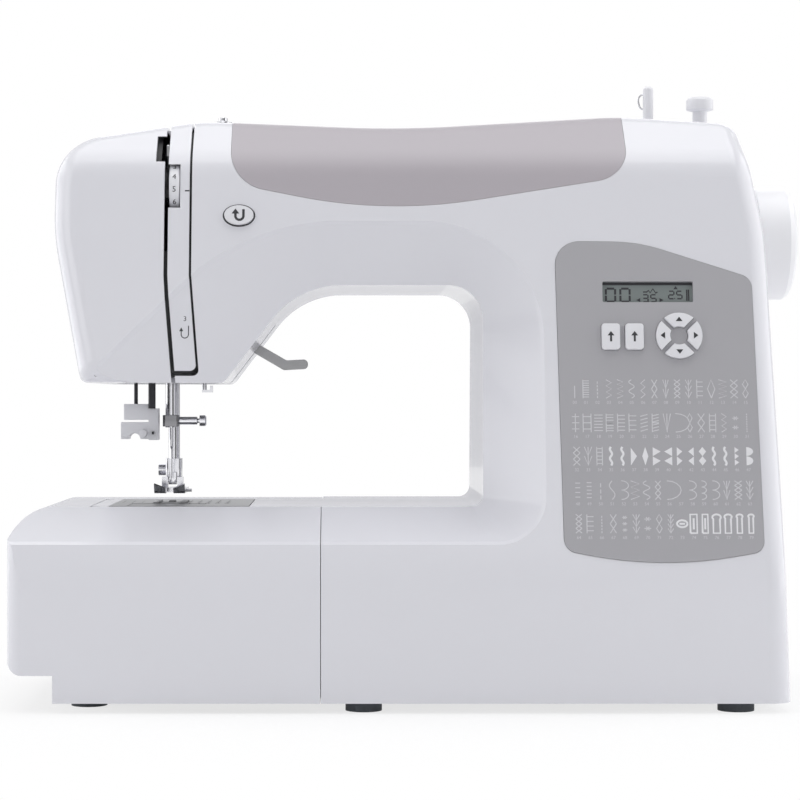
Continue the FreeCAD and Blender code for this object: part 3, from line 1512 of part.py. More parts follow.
lever_eye = rod(
    "LeverEye", "X", (f"{TAKE_UP_Y} - take_up_reach", f"{TAKE_UP_Z} + take_up_rise - 1"), lever_ends, "1.2"
)
node("take_up_lever", cut("TakeUpLever", lever_blank, lever_bore, lever_eye))

# Presser bar with its bracket, foot holder, screw and foot
foot_z = "(bed_height + 0.2 + foot_lift)"
bar_end = f"({foot_z} + foot_thickness + 6)"
bar_rod = rod("PresserRod", "Z", (NEEDLE_X, PRESSER_Y), (bar_end, f"{CRADLE_Z} + 14"), "presser_radius")
lifter_face = f"({PRESSER_Y} + presser_radius + 0.5)"
lifter_y = (lifter_face, f"({lifter_face} + lifter_thickness)")
lifter_z = f"({HEAD_Z} + lifter_pivot_z)"
lifter_x = f"({NEEDLE_X} - lifter_pivot_x)"
bracket = box(
    "Bracket", (f"{NEEDLE_X} - 1", f"{NEEDLE_X} + 6"), (f"{PRESSER_Y} - 5", f"{lifter_y[1]} - 1"),
    (f"{lifter_z} + lifter_height / 2 + 0.4", f"{lifter_z} + lifter_height / 2 + 8"),
)
node("presser_bar", fuse("PresserBar", bar_rod, bracket))
holder = box(
    "Holder", (f"{NEEDLE_X} - 4.2", f"{NEEDLE_X} + 4.2"), (f"{PRESSER_Y} - 6", f"{PRESSER_Y} + 5"),
    (f"{foot_z} + foot_thickness + 3.2", f"{foot_z} + foot_thickness + 3.2 + holder_height"),
)
ankle = box(
    "Ankle", (f"{NEEDLE_X} - 2", f"{NEEDLE_X} + 2"), (f"{PRESSER_Y} - 12.5", f"{PRESSER_Y} - 3"),
    (f"{foot_z} + foot_thickness + 1.6", f"{foot_z} + foot_thickness + 8"),
)
foot_pin_centre = (f"{PRESSER_Y} - 10", f"{foot_z} + foot_thickness + 3.6")
ankle_bore = rod(
    "AnkleBore", "X", foot_pin_centre, (f"{NEEDLE_X} - 3", f"{NEEDLE_X} + 3"),
    "foot_pin_radius + running_fit",
)
holder_bore = rod("HolderBore", "Z", (NEEDLE_X, PRESSER_Y), (bar_end, f"{bar_end} + 40"), "presser_radius")
holder_round = rounded("HolderRound", holder, "running_fit * 30", along("Z"))
node("foot_holder", cut("FootHolder", fuse("HolderBlank", holder_round, ankle), holder_bore, ankle_bore))
foot_screw_z = f"({foot_z} + foot_thickness + holder_height - 3)"
foot_screw_x = f"({NEEDLE_X} - 4.2 - 4)"
node("foot_screw", rod(
    "FootScrew", "X", (PRESSER_Y, foot_screw_z), (foot_screw_x, f"{foot_screw_x} + 4"), "3"
))
half = "foot_width / 2"
foot_front = f"({NEEDLE_Y} - 11.5)"
sole = plate(
    "foot_sole", Rotation(), (NEEDLE_X, foot_front, foot_z),
    [
        (f"-{half}", "0"),
        ("-toe_gap / 2", "0"),
        ("-toe_gap / 2", "7"),
        (f"-{half} + 2.4", "9"),
        (f"-{half} + 2.4", "14"),
        (f"{half} - 2.4", "14"),
        (f"{half} - 2.4", "9"),
        ("toe_gap / 2", "7"),
        ("toe_gap / 2", "0"),
        (half, "0"),
        (half, "foot_length"),
        (f"-{half}", "foot_length"),
    ],
    "foot_thickness",
)


def toe_profile(across, rise):
    """A toe's side outline at this X, from inside the sole forward to a tip that rises this high."""
    reach, thick = mm("toe_reach"), mm("foot_thickness")
    points = [
        (0.5, 0),
        (0.5, thick),
        (-1.2, thick + 0.4),
        (1.4 - reach, rise),
        (-reach, rise - 0.5),
        (-0.55 * reach, 0.28 * rise),
        (-1, 0.3),
    ]
    corners = [Vector(across, mm(foot_front) + y, mm(foot_z) + z) for y, z in points]
    return Part.makePolygon(corners + corners[:1])


def foot_toe(label, side):
    """A turned-up toe, its outer edge higher than its inner one."""
    inner = toe_profile(mm(NEEDLE_X) + side * mm("toe_gap") / 2, mm("toe_rise") - mm("toe_dip"))
    outer = toe_profile(mm(NEEDLE_X) + side * mm("foot_width") / 2, mm("toe_rise"))
    item = doc.addObject("Part::Feature", label)
    item.Shape = Part.makeLoft([inner, outer], True, True)
    return item


toes = [foot_toe("FootToeLeft", -1), foot_toe("FootToeRight", 1)]
ear_y = (f"{PRESSER_Y} - 13", f"{PRESSER_Y} - 7")
ear_z = (f"{foot_z} + foot_thickness - 0.5", f"{foot_z} + foot_thickness + 5.5")
ear_left = box("EarLeft", (f"{NEEDLE_X} - 5.6", f"{NEEDLE_X} - 2.4"), ear_y, ear_z)
ear_right = box("EarRight", (f"{NEEDLE_X} + 2.4", f"{NEEDLE_X} + 5.6"), ear_y, ear_z)
foot_pin = rod(
    "FootPin", "X", foot_pin_centre, (f"{NEEDLE_X} - 3", f"{NEEDLE_X} + 3"), "foot_pin_radius"
)
side_pin = rod(
    "SidePin", "X", (f"{NEEDLE_Y} + 2", f"{foot_z} + foot_thickness / 2"),
    (f"{NEEDLE_X} + foot_width / 2 - 1", f"{NEEDLE_X} + foot_width / 2 + 2.6"), "0.8",
)
node("presser_foot", fuse("PresserFoot", sole, ear_left, ear_right, foot_pin, side_pin, *toes))

# Presser lifter: a bent lever on a pin behind the presser bar
lifter_half = "lifter_height / 2"
lifter_blank = plate(
    "lifter_blank", UPRIGHT, (lifter_x, lifter_y[1], lifter_z),
    [
        ("-5", "-2"),
        ("-2", "-5.5"),
        ("5", f"-{lifter_half} - 1"),
        ("51", f"-10 - {lifter_half}"),
        ("lifter_reach - 13", f"-20.5 - {lifter_half}"),
        ("lifter_reach", f"-19.8 - {lifter_half}"),
        ("lifter_reach", f"-19.8 + {lifter_half}"),
        ("lifter_reach - 11.5", f"-20.4 + {lifter_half}"),
        ("52.5", f"-10 + {lifter_half}"),
        ("6", lifter_half),
        ("-2", "5"),
        ("-5", "2"),
    ],
    "lifter_thickness", "lifter_height * 0.46",
)
lifter_bore = rod(
    "LifterBore", "Y", (lifter_x, lifter_z), (f"{lifter_y[0]} - 2", f"{lifter_y[1]} + 2"),
    "2.5 + running_fit",
)
node("lifter_lever", cut("LifterLever", lifter_blank, lifter_bore))

# Needle threader and its rods
thread_y = (f"({NEEDLE_Y} - 9)", f"({NEEDLE_Y} + 2)")
thread_a = box(
    "ThreaderTop",
    (f"{NEEDLE_X} - 24.2", f"{NEEDLE_X} - 10.8"),
    thread_y,
    (f"{HEAD_Z} - 19", f"{HEAD_Z} - 10.7"),
)
thread_b = box(
    "ThreaderLow",
    (f"{NEEDLE_X} - 25.8", f"{NEEDLE_X} - 10.8"),
    thread_y,
    (f"{HEAD_Z} - 29", f"{HEAD_Z} - 20.2"),
)
thread_c = box(
    "ThreaderSide",
    (f"{NEEDLE_X} - 11.3", f"{NEEDLE_X} - 6.3"),
    thread_y,
    (f"{HEAD_Z} - 29.5", f"{HEAD_Z} - 13"),
)
thread_d = rod(
    "ThreaderKnob",
    "Y",
    (f"{NEEDLE_X} - 14", f"{HEAD_Z} - 26"),
    (f"{thread_y[0]} - 2.5", thread_y[0]),
    "2",
)
thread_notch = rod(
    "ThreaderNotch", "Y", (f"{NEEDLE_X} - 18.6", f"{HEAD_Z} - 29"),
    (f"{thread_y[0]} - 5", f"{thread_y[1]} + 5"), "threader_notch",
)
thread_blank = fuse("ThreaderBlank", thread_a, thread_b, thread_c, thread_d)
node("needle_threader", cut("NeedleThreader", thread_blank, thread_notch))
thick_x, thin_x, rods_y = f"({NEEDLE_X} - 9.4)", f"({NEEDLE_X} - 18.2)", f"({NEEDLE_Y} - 5)"
thick_rod = rod(
    "ThickRod",
    "Z",
    (thick_x, f"{NEEDLE_Y} - 10.2"),
    (f"{HEAD_Z} - 13", f"{HEAD_Z} + 40"),
    "threader_rod_radius",
)
thin_rod = rod(
    "ThinRod",
    "Z",
    (thin_x, rods_y),
    (f"{HEAD_Z} - 10.7", f"{HEAD_Z} + 34"),
    "threader_thin_radius",
)
hook_arm = box(
    "HookArm", (f"{NEEDLE_X} - 9.3", f"{NEEDLE_X} - 8.3"), (f"{thread_y[0]} - 4", thread_y[0]),
    (f"{HEAD_Z} - 26.5", f"{HEAD_Z} - 25"),
)
node("threader_rods", group("ThreaderRods", thick_rod, thin_rod, hook_arm))

# Buttonhole lever: a hooked rod that pulls down
hole_x, hole_y = f"({NEEDLE_X} + 17)", f"({NEEDLE_Y} + 6)"
hole_rod = rod("HoleRod", "Z", (hole_x, hole_y), (f"{HEAD_Z} - 4", f"{HEAD_Z} + 30"), "1.2")
hole_hook = box(
    "HoleHook",
    (f"{hole_x} - 1.2", f"{hole_x} + 4.5"),
    (f"{hole_y} - 1.2", f"{hole_y} + 1.2"),
    (f"{HEAD_Z} - 4.6", f"{HEAD_Z} - 3.2"),
)
hole_tip = box(
    "HoleTip",
    (f"{hole_x} + 3", f"{hole_x} + 4.5"),
    (f"{hole_y} - 1.2", f"{hole_y} + 1.2"),
    (f"{HEAD_Z} - 4.6", f"{HEAD_Z} - 1"),
)
node("buttonhole_lever", fuse("ButtonholeLever", hole_rod, hole_hook, hole_tip))

# Cast frame: column, arm beam, head plate and the lower beam in the free arm
column = box(
    "Column",
    (COLUMN_X, COLUMN_END),
    (f"{NEEDLE_Y} - 14", PLATE_BACK),
    (BASE_TOP, f"{SHAFT_Z} + 21"),
)
beam = box(
    "Beam",
    (f"{NEEDLE_X} + 26", f"{COLUMN_X} + 5"),
    (f"{NEEDLE_Y} + 13", PLATE_BACK),
    (f"{SHAFT_Z} - 13", f"{SHAFT_Z} + 21"),
)
beam_way = box(
    "BeamWay",
    timing_span,
    (f"{NEEDLE_Y} - 30", f"{NEEDLE_Y} + 20"),
    (f"{SHAFT_Z} - 40", f"{SHAFT_Z} + 17"),
)
lug = box(
    "BushLug",
    (bush_left, f"{bush_left} + bush_length"),
    (f"{NEEDLE_Y} - 12", f"{NEEDLE_Y} + 14"),
    (f"{SHAFT_Z} - 12", f"{SHAFT_Z} + 12"),
)
head_plate = box(
    "HeadPlate",
    (f"{NEEDLE_X} - 20", f"{NEEDLE_X} + 27"),
    (PLATE_Y, PLATE_BACK),
    (f"{HEAD_Z} + 3.2", f"{CRADLE_Z} + 10"),
)
foot_plate = box(
    "FootPlate",
    (f"{NEEDLE_X} - 24", f"{NEEDLE_X} + 22"),
    (f"{NEEDLE_Y} - 17", f"{lifter_y[0]} - 0.6"),
    (f"{HEAD_Z} + 3.2", f"{HEAD_Z} + 6.5"),
)
foot_bridge = box(
    "FootBridge",
    (f"{NEEDLE_X} - 7", f"{NEEDLE_X} + 7"),
    (f"{PRESSER_Y} - 6", f"{PLATE_Y} + 1"),
    (f"{HEAD_Z} + 3.2", f"{HEAD_Z} + 9.5"),
)
top_lug = box(
    "TopLug",
    (f"{NEEDLE_X} - 8", f"{NEEDLE_X} + 8"),
    (f"{NEEDLE_Y} + 8", f"{PLATE_Y} + 1"),
    (f"{CRADLE_Z} - 10", f"{CRADLE_Z} + 10"),
)
cradle_pin = rod(
    "CradlePin",
    "Y",
    (NEEDLE_X, CRADLE_Z),
    (f"{NEEDLE_Y} - 6", f"{NEEDLE_Y} + 12"),
    "cradle_pin_radius",
)
up_arm = box(
    "TakeUpArm",
    (f"{NEEDLE_X} + 4", f"{NEEDLE_X} + 8"),
    (f"{TAKE_UP_Y} - 4", f"{NEEDLE_Y} + 12"),
    (f"{CRADLE_Z} + 7", f"{CRADLE_Z} + 10"),
)
up_leg = box(
    "TakeUpLeg",
    (f"{NEEDLE_X} + 4", f"{NEEDLE_X} + 8"),
    (f"{TAKE_UP_Y} - 4", f"{TAKE_UP_Y} + 4"),
    (f"{TAKE_UP_Z} - 4", f"{CRADLE_Z} + 10"),
)
up_stud = rod(
    "TakeUpStud",
    "X",
    (TAKE_UP_Y, TAKE_UP_Z),
    (f"{lever_x} - 1", f"{NEEDLE_X} + 5"),
    "axle_radius",
)
lifter_pin = rod("LifterPin", "Y", (lifter_x, lifter_z), (lifter_y[0], f"{PLATE_Y} + 1"), "2.5")
lower_beam = box(
    "LowerBeam",
    (f"{NEEDLE_X} + 10", f"{COLUMN_END} - 1"),
    (f"{LOWER_Y} + 8", f"{ARM_BACK} - table_wall - 0.4"),
    (f"{FREE_Z} + table_wall + 0.4", f"{LOWER_Z} - 4"),
)
lower_lugs = [
    box(
        f"LowerLug{k}",
        (x, f"{x} + 10"),
        (f"{LOWER_Y} - 8", f"{LOWER_Y} + 9"),
        (f"{LOWER_Z} - 12", f"{LOWER_Z} + 8"),
    )
    for k, x in enumerate((f"({NEEDLE_X} + 12)", f"({SEAM_X} + 20)"))
]
hook_floor = box(
    "HookFloor",
    (f"{NEEDLE_X} - 12", f"{NEEDLE_X} + 12"),
    (f"{HOOK_Y} - 9", f"{ARM_BACK} - table_wall - 0.4"),
    (f"{FREE_Z} + table_wall + 0.4", f"{FREE_Z} + table_wall + 3"),
)
hook_boss = rod("HookBoss", "Z", (NEEDLE_X, HOOK_Y), (f"{FREE_Z} + table_wall + 1", f"{LOWER_Z} - 8"), "8")
feed_guides = [
    box(
        f"FeedGuide{side}",
        (low, high),
        (f"{row_end} + 6", f"{ARM_BACK} - table_wall - 0.4"),
        (f"{FREE_Z} + table_wall + 0.4", "bed_height - 7.5"),
    )
    for side, low, high in (
        ("Left", f"{NEEDLE_X} - 11", f"{NEEDLE_X} - 6 - side_fit"),
        ("Right", f"{NEEDLE_X} + 6 + side_fit", f"{NEEDLE_X} + 12"),
    )
]
frame_blank = fuse(
    "FrameBlank", column, cut("BeamCut", beam, beam_way), lug, head_plate, foot_plate, foot_bridge, top_lug,
    cradle_pin, up_arm, up_leg, up_stud, lifter_pin, lower_beam, hook_floor, hook_boss,
    *lower_lugs, *feed_guides,
)
frame_bores = (
    rod(
        "BoreShaft",
        "X",
        (NEEDLE_Y, SHAFT_Z),
        (f"{bush_left} - 2", f"{COLUMN_END} + 2"),
        "shaft_radius + running_fit",
    ),
    rod(
        "BoreLower",
        "X",
        (LOWER_Y, LOWER_Z),
        (shaft_start, f"{COLUMN_X} - 2"),
        "lower_shaft_radius + running_fit",
    ),
    box(
        "LowerWay",
        (f"{TIMING_X} - 2", f"{TIMING_X} + timing_width + 2"),
        (f"{LOWER_Y} - 20", f"{LOWER_Y} + timing_radius + 3"),
        (f"{LOWER_Z} - timing_radius - 3", f"{LOWER_Z} + 20"),
    ),
    rod(
        "BoreHook",
        "Z",
        (NEEDLE_X, HOOK_Y),
        (f"{FREE_Z} + table_wall + 4", f"{LOWER_Z} + 5"),
        "hook_shaft_radius + running_fit",
    ),
    rod(
        "BorePresser",
        "Z",
        (NEEDLE_X, PRESSER_Y),
        (HEAD_Z, f"{CRADLE_Z} + 20"),
        "presser_radius + running_fit",
    ),
    rod("BoreBar", "Z", (NEEDLE_X, NEEDLE_Y), (HEAD_Z, f"{HEAD_Z} + 10"), "needle_bar_radius + 3"),
    rod(
        "BoreThick",
        "Z",
        (thick_x, f"{NEEDLE_Y} - 10.2"),
        (HEAD_Z, f"{HEAD_Z} + 10"),
        "threader_rod_radius + running_fit",
    ),
    rod(
        "BoreThin",
        "Z",
        (thin_x, rods_y),
        (HEAD_Z, f"{HEAD_Z} + 10"),
        "threader_thin_radius + running_fit",
    ),
    rod("BoreHole", "Z", (hole_x, hole_y), (HEAD_Z, f"{HEAD_Z} + 10"), "1.2 + running_fit"),
)
node("main_frame", cut("MainFrame", frame_blank, *frame_bores))

# Spool pin, winder spindle and stop, thread guide on top
pin_y = f"({SPLIT_Y} - 3 - trough_width / 2)"
pin_z = f"({TOP_Z} - 14)"
pin_right = f"({NEEDLE_X} + 63.5 + trough_length)"
node("spool_pin", turned(
    "spool_pin", "X", (f"{pin_right} - spool_pin_length", pin_y, pin_z),
    [
        ("0", "0"),
        ("spool_pin_radius - 0.8", "0"),
        ("spool_pin_radius", "1"),
        ("spool_pin_radius", "spool_pin_length - 6"),
        ("spool_pin_radius + 4", "spool_pin_length - 5"),
        ("spool_pin_radius + 4", "spool_pin_length"),
        ("0", "spool_pin_length"),
    ],
))
spindle_at = f"({TOWER_RIGHT} - spindle_from_right)"
top_y = f"({NEEDLE_Y} + 5)"
carriage_z = (f"({TOP_Z} - carriage_drop - 8)", f"({TOP_Z} - carriage_drop)")
carriage = box(
    "CarriageBlock", (f"{spindle_at} - 8", f"{spindle_at} + 8"), (f"{top_y} - 8", f"{top_y} + 8"),
    carriage_z,
)
carriage_bore = rod(
    "CarriageBore", "Z", (spindle_at, top_y), (f"{TOP_Z} - 30", f"{TOP_Z} + 5"),
    "spindle_seat_radius + running_fit",
)
node("winder_carriage", cut("WinderCarriage", carriage, carriage_bore))
spindle_foot = f"({TOP_Z} - carriage_drop - 8)"
node("winder_spindle", turned(
    "winder_spindle", "Z", (spindle_at, top_y, spindle_foot),
    [
        ("0", "0"),
        ("spindle_seat_radius", "0"),
        ("spindle_seat_radius", f"{TOP_Z} + spindle_seat - {spindle_foot}"),
        ("spindle_radius", f"{TOP_Z} + spindle_seat - {spindle_foot}"),
        ("spindle_radius", f"spindle_top - 1.2 - {spindle_foot}"),
        ("spindle_radius - 1.2", f"spindle_top - {spindle_foot}"),
        ("0", f"spindle_top - {spindle_foot}"),
    ],
))
stop_at = f"({TOWER_RIGHT} - stop_from_right)"
stop_base = f"({TOP_Z} - 10)"
node("winder_stop", turned(
    "winder_stop", "Z", (stop_at, top_y, stop_base),
    [
        ("0", "0"),
        ("3.8", "0"),
        ("3.8", f"stop_top - 7.4 - {stop_base}"),
        ("stop_radius", f"stop_top - 6.6 - {stop_base}"),
        ("stop_radius", f"stop_top - 1.4 - {stop_base}"),
        ("stop_radius - 1.4", f"stop_top - {stop_base}"),
        ("0", f"stop_top - {stop_base}"),
    ],
))

node("thread_guide", turned(
    "thread_guide", "Z", (guide_x, guide_y, f"{TOP_Z} - 6"),
    [
        ("0", "0"),
        ("1.5", "0"),
        ("1.5", "4.2"),
        ("5", "4.6"),
        ("5", "5.4"),
        ("1.5", "6.6"),
        ("5", "7.8"),
        ("5", "8.6"),
        ("2.4", "9.2"),
        ("2.4", "11"),
        ("0", "11"),
    ],
))

# Carrying handle, folded down against the back
half_width = "handle_width / 2"
handle_blank = plate(
    "handle_blank",
    Rotation(Vector(1, 0, 0), 90 + math.degrees(back_slope)),
    (HANDLE_X, HANDLE_OUT, HANDLE_Z),
    [
        (f"-{half_width}", "handle_arm_end"),
        (f"-{half_width}", "-handle_drop - handle_bar"),
        (half_width, "-handle_drop - handle_bar"),
        (half_width, "handle_arm_end"),
        (f"{half_width} - handle_bar", "handle_arm_end"),
        (f"{half_width} - handle_bar", "-handle_drop"),
        (f"-{half_width} + handle_bar", "-handle_drop"),
        (f"-{half_width} + handle_bar", "handle_arm_end"),
    ],
    "handle_bar", "handle_bar * 0.3",
)
handle_bore = rod(
    "HandleBore", "X", HANDLE_AXIS,
    (f"{HANDLE_X} - handle_width", f"{HANDLE_X} + handle_width"), "handle_pin_radius + running_fit",
)
node("handle", cut("Handle", handle_blank, handle_bore))

# Power inlet with its rocker switch
inlet_low = INLET_Y
inlet_base = INLET_Z
inlet_out = f"({TOWER_RIGHT} - 0.2)"
inlet_block = box(
    "InletBlock", (f"{inlet_out} - inlet_depth", inlet_out), (inlet_low, f"{inlet_low} + inlet_width"),
    (inlet_base, f"{inlet_base} + inlet_height"),
)
socket = box(
    "InletSocket", (f"{inlet_out} - inlet_depth + 4", f"{inlet_out} + 5"),
    (f"{inlet_low} + 3", f"{inlet_low} + inlet_width - 3"), (f"{inlet_base} + 4", f"{inlet_base} + 18"),
)
switch_z = (f"({inlet_base} + 21)", f"({inlet_base} + inlet_height - 3)")
switch_way = box(
    "SwitchWay", (f"{inlet_out} - inlet_depth + 3", f"{inlet_out} + 5"),
    (f"{inlet_low} + 4", f"{inlet_low} + inlet_width - 4"), switch_z,
)
pins = [
    box(
        f"InletPin{k}",
        (f"{inlet_out} - inlet_depth + 3", f"{inlet_out} - 5"),
        (f"{inlet_low} + {y}", f"{inlet_low} + {y} + 2"),
        (f"{inlet_base} + 9", f"{inlet_base} + 13"),
    )
    for k, y in enumerate((8, 14))
]
node("power_inlet", fuse("PowerInlet", cut("InletCut", inlet_block, socket, switch_way), *pins))
node("power_switch", box(
    "PowerSwitch", (f"{inlet_out} - inlet_depth + 4.6", f"{inlet_out} + 0.1"),
    (f"{inlet_low} + 4.3", f"{inlet_low} + inlet_width - 4.3"),
    (f"{switch_z[0]} + 1.4", f"{switch_z[1]} - 1.4"),
))

# Nothing is written unless every object came out sound
doc.recompute()
for item in doc.Objects:
    if "Invalid" in item.State or "Error" in item.State:
        raise RuntimeError(f"{item.Label} could not be made: {item.State}")
for item in nodes:
    if item.Shape.isNull() or not item.Shape.isValid():
        raise RuntimeError(f"{item.Label} is not a sound solid")

os.makedirs("parts", exist_ok=True)
for item in nodes:
    item.Shape.exportStep(f"parts/{item.Label}.step")
    print(item.Label, len(item.Shape.Solids), round(item.Shape.Volume))
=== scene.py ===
"""Looks of a household sewing machine: finishes, printed marks and small fittings round its solids."""
import json
import math

import bmesh
import bpy
from mathutils import Matrix, Vector


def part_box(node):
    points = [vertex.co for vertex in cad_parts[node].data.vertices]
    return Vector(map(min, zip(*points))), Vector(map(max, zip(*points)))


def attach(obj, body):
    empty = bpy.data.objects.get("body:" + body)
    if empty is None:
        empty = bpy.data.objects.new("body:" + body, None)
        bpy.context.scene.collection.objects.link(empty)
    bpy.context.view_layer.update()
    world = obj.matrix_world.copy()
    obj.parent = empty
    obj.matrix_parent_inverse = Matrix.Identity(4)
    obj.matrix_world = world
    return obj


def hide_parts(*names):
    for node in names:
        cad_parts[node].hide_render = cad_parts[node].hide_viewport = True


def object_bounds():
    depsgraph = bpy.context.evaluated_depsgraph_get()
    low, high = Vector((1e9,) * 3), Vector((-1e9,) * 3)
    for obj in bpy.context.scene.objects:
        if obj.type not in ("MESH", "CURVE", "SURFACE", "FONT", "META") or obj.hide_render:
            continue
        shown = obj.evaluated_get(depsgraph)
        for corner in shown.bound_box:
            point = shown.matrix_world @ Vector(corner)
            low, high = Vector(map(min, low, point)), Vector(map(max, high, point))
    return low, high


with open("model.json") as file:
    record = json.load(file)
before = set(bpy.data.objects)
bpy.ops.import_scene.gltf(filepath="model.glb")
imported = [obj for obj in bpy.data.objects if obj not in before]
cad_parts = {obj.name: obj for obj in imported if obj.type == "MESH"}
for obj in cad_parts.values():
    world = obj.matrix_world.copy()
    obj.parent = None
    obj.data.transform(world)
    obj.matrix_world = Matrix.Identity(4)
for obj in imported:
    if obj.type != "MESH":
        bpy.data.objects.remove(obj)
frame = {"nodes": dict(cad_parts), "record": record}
cad_low, cad_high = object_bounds()
nodes = frame["nodes"]
MM = 0.001

# The leaning front plane: its angle, and the height in millimetres at which the lean starts
LEAN = math.radians(9)
LEAN_START = 70
FRONT = cad_low.y

# Camera: level, in front of the arm, as far off as the photograph's perspective shows
CAMERA_PLACE = (-36.8 * MM, -1195 * MM, 152.9 * MM)
CAMERA_LENS = 102.6
CAMERA_SENSOR = 36
CAMERA_SHIFT = 0.075

# Colours of the finishes
WHITE = (0.74, 0.74, 0.78, 1)
WHITE_PARTS = (0.76, 0.76, 0.79, 1)
WHITE_WHEEL = (0.88, 0.88, 0.90, 1)
BAND_GREY = (0.445, 0.415, 0.445, 1)
PANEL_GREY = (0.40, 0.395, 0.415, 1)
LEVER_GREY = (0.50, 0.50, 0.49, 1)
BLACK = (0.012, 0.012, 0.013, 1)
DISPLAY = (0.22, 0.25, 0.245, 1)
BOARD = (0.02, 0.11, 0.04, 1)
RUBBER = (0.075, 0.085, 0.095, 1)
PLATE = (0.21, 0.213, 0.217, 1)
STEEL = (0.42, 0.42, 0.43, 1)
BRIGHT = (0.95, 0.95, 0.97, 1)
CLAMP_STEEL = (0.30, 0.30, 0.31, 1)
DARK_STEEL = (0.05, 0.05, 0.055, 1)
CASTING = (0.38, 0.38, 0.39, 1)
NYLON = (0.62, 0.62, 0.59, 1)
CLEAR = (0.60, 0.62, 0.64, 1)
SMOKED = (0.20, 0.205, 0.21, 1)
# Dark ink for prints, also used for painted shade in the screws' cross recesses and a painted shadow strip
# on the display
DARK_INK_AND_PAINTED_SHADE = (0.035, 0.035, 0.04, 1)
PALE_INK = (0.60, 0.60, 0.62, 1)
LIGHT_INK = (0.78, 0.78, 0.80, 1)

# Shared surface effects
VALUE, COLOUR, NORMAL = "NodeSocketFloat", "NodeSocketColor", "NodeSocketVector"
GRAIN_DETAIL = 3
GRAIN_BROAD = 22
GRAIN_RELIEF = 0.2 * MM
GRAIN_VARIATION = 0.06
TINT_SCALE, TINT_DETAIL = 35, 4
TINT_SHADE = (0.80, 0.80, 0.82, 1)
BRUSH_STRENGTH = 0.12
BRUSH_RELIEF = 0.1 * MM
# Painted reflection bands, from surfaces that face left to those that face right: place and shade
PAINTED_REFLECTION_BANDS = (
    (0.00, 0.50), (0.16, 0.95), (0.30, 0.25), (0.40, 0.85),
    (0.56, 1.00), (0.66, 0.10), (0.76, 0.70), (1.00, 0.40),
)
PAINTED_REFLECTION_BLUE = 1.02


def start_group(name, inputs, outputs):
    """A shader node group with its named sockets, and its two end nodes."""
    group = bpy.data.node_groups.new(name, "ShaderNodeTree")
    for label, kind in inputs.items():
        group.interface.new_socket(label, in_out="INPUT", socket_type=kind)
    for label, kind in outputs.items():
        group.interface.new_socket(label, in_out="OUTPUT", socket_type=kind)
    return group, group.nodes.new("NodeGroupInput"), group.nodes.new("NodeGroupOutput")


def math_node(tree, operation):
    node = tree.nodes.new("ShaderNodeMath")
    node.operation = operation
    return node


def colour_mix(tree, blend):
    node = tree.nodes.new("ShaderNodeMix")
    node.data_type = "RGBA"
    node.blend_type = blend
    return node


def make_grain_group():
    """Fine moulding or casting grain: a roughness that varies and a faintly uneven normal."""
    inputs = {"Scale": VALUE, "Roughness": VALUE, "Variation": VALUE, "Depth": VALUE}
    group, source, sink = start_group("SurfaceGrain", inputs, {"Roughness": VALUE, "Normal": NORMAL})
    place = group.nodes.new("ShaderNodeTexCoord")
    fine = group.nodes.new("ShaderNodeTexNoise")
    fine.inputs["Detail"].default_value = GRAIN_DETAIL
    broad = group.nodes.new("ShaderNodeTexNoise")
    broad.inputs["Scale"].default_value = GRAIN_BROAD
    both = math_node(group, "ADD")
    centred = math_node(group, "SUBTRACT")
    centred.inputs[1].default_value = 1.0
    varied = math_node(group, "MULTIPLY_ADD")
    bump = group.nodes.new("ShaderNodeBump")
    bump.inputs["Distance"].default_value = GRAIN_RELIEF
    link = group.links.new
    link(place.outputs["Object"], fine.inputs["Vector"])
    link(source.outputs["Scale"], fine.inputs["Scale"])
    link(place.outputs["Object"], broad.inputs["Vector"])
    link(fine.outputs["Fac"], both.inputs[0])
    link(broad.outputs["Fac"], both.inputs[1])
    link(both.outputs[0], centred.inputs[0])
    link(centred.outputs[0], varied.inputs[0])
    link(source.outputs["Variation"], varied.inputs[1])
    link(source.outputs["Roughness"], varied.inputs[2])
    link(source.outputs["Depth"], bump.inputs["Strength"])
    link(fine.outputs["Fac"], bump.inputs["Height"])
    link(varied.outputs[0], sink.inputs["Roughness"])
    link(bump.outputs["Normal"], sink.inputs["Normal"])
    return group


def make_tint_group():
    """A slight unevenness of colour, as handled plastic and metal have."""
    inputs = {"Colour": COLOUR, "Amount": VALUE}
    group, source, sink = start_group("HandledTint", inputs, {"Colour": COLOUR})
    place = group.nodes.new("ShaderNodeTexCoord")
    cloud = group.nodes.new("ShaderNodeTexNoise")
    cloud.inputs["Scale"].default_value = TINT_SCALE
    cloud.inputs["Detail"].default_value = TINT_DETAIL
    share = math_node(group, "MULTIPLY")
    darker = colour_mix(group, "MULTIPLY")
    darker.inputs["B"].default_value = TINT_SHADE
    link = group.links.new
    link(place.outputs["Object"], cloud.inputs["Vector"])
    link(cloud.outputs["Fac"], share.inputs[0])
    link(source.outputs["Amount"], share.inputs[1])
    link(share.outputs[0], darker.inputs["Factor"])
    link(source.outputs["Colour"], darker.inputs["A"])
    link(darker.outputs["Result"], sink.inputs["Colour"])
    return group


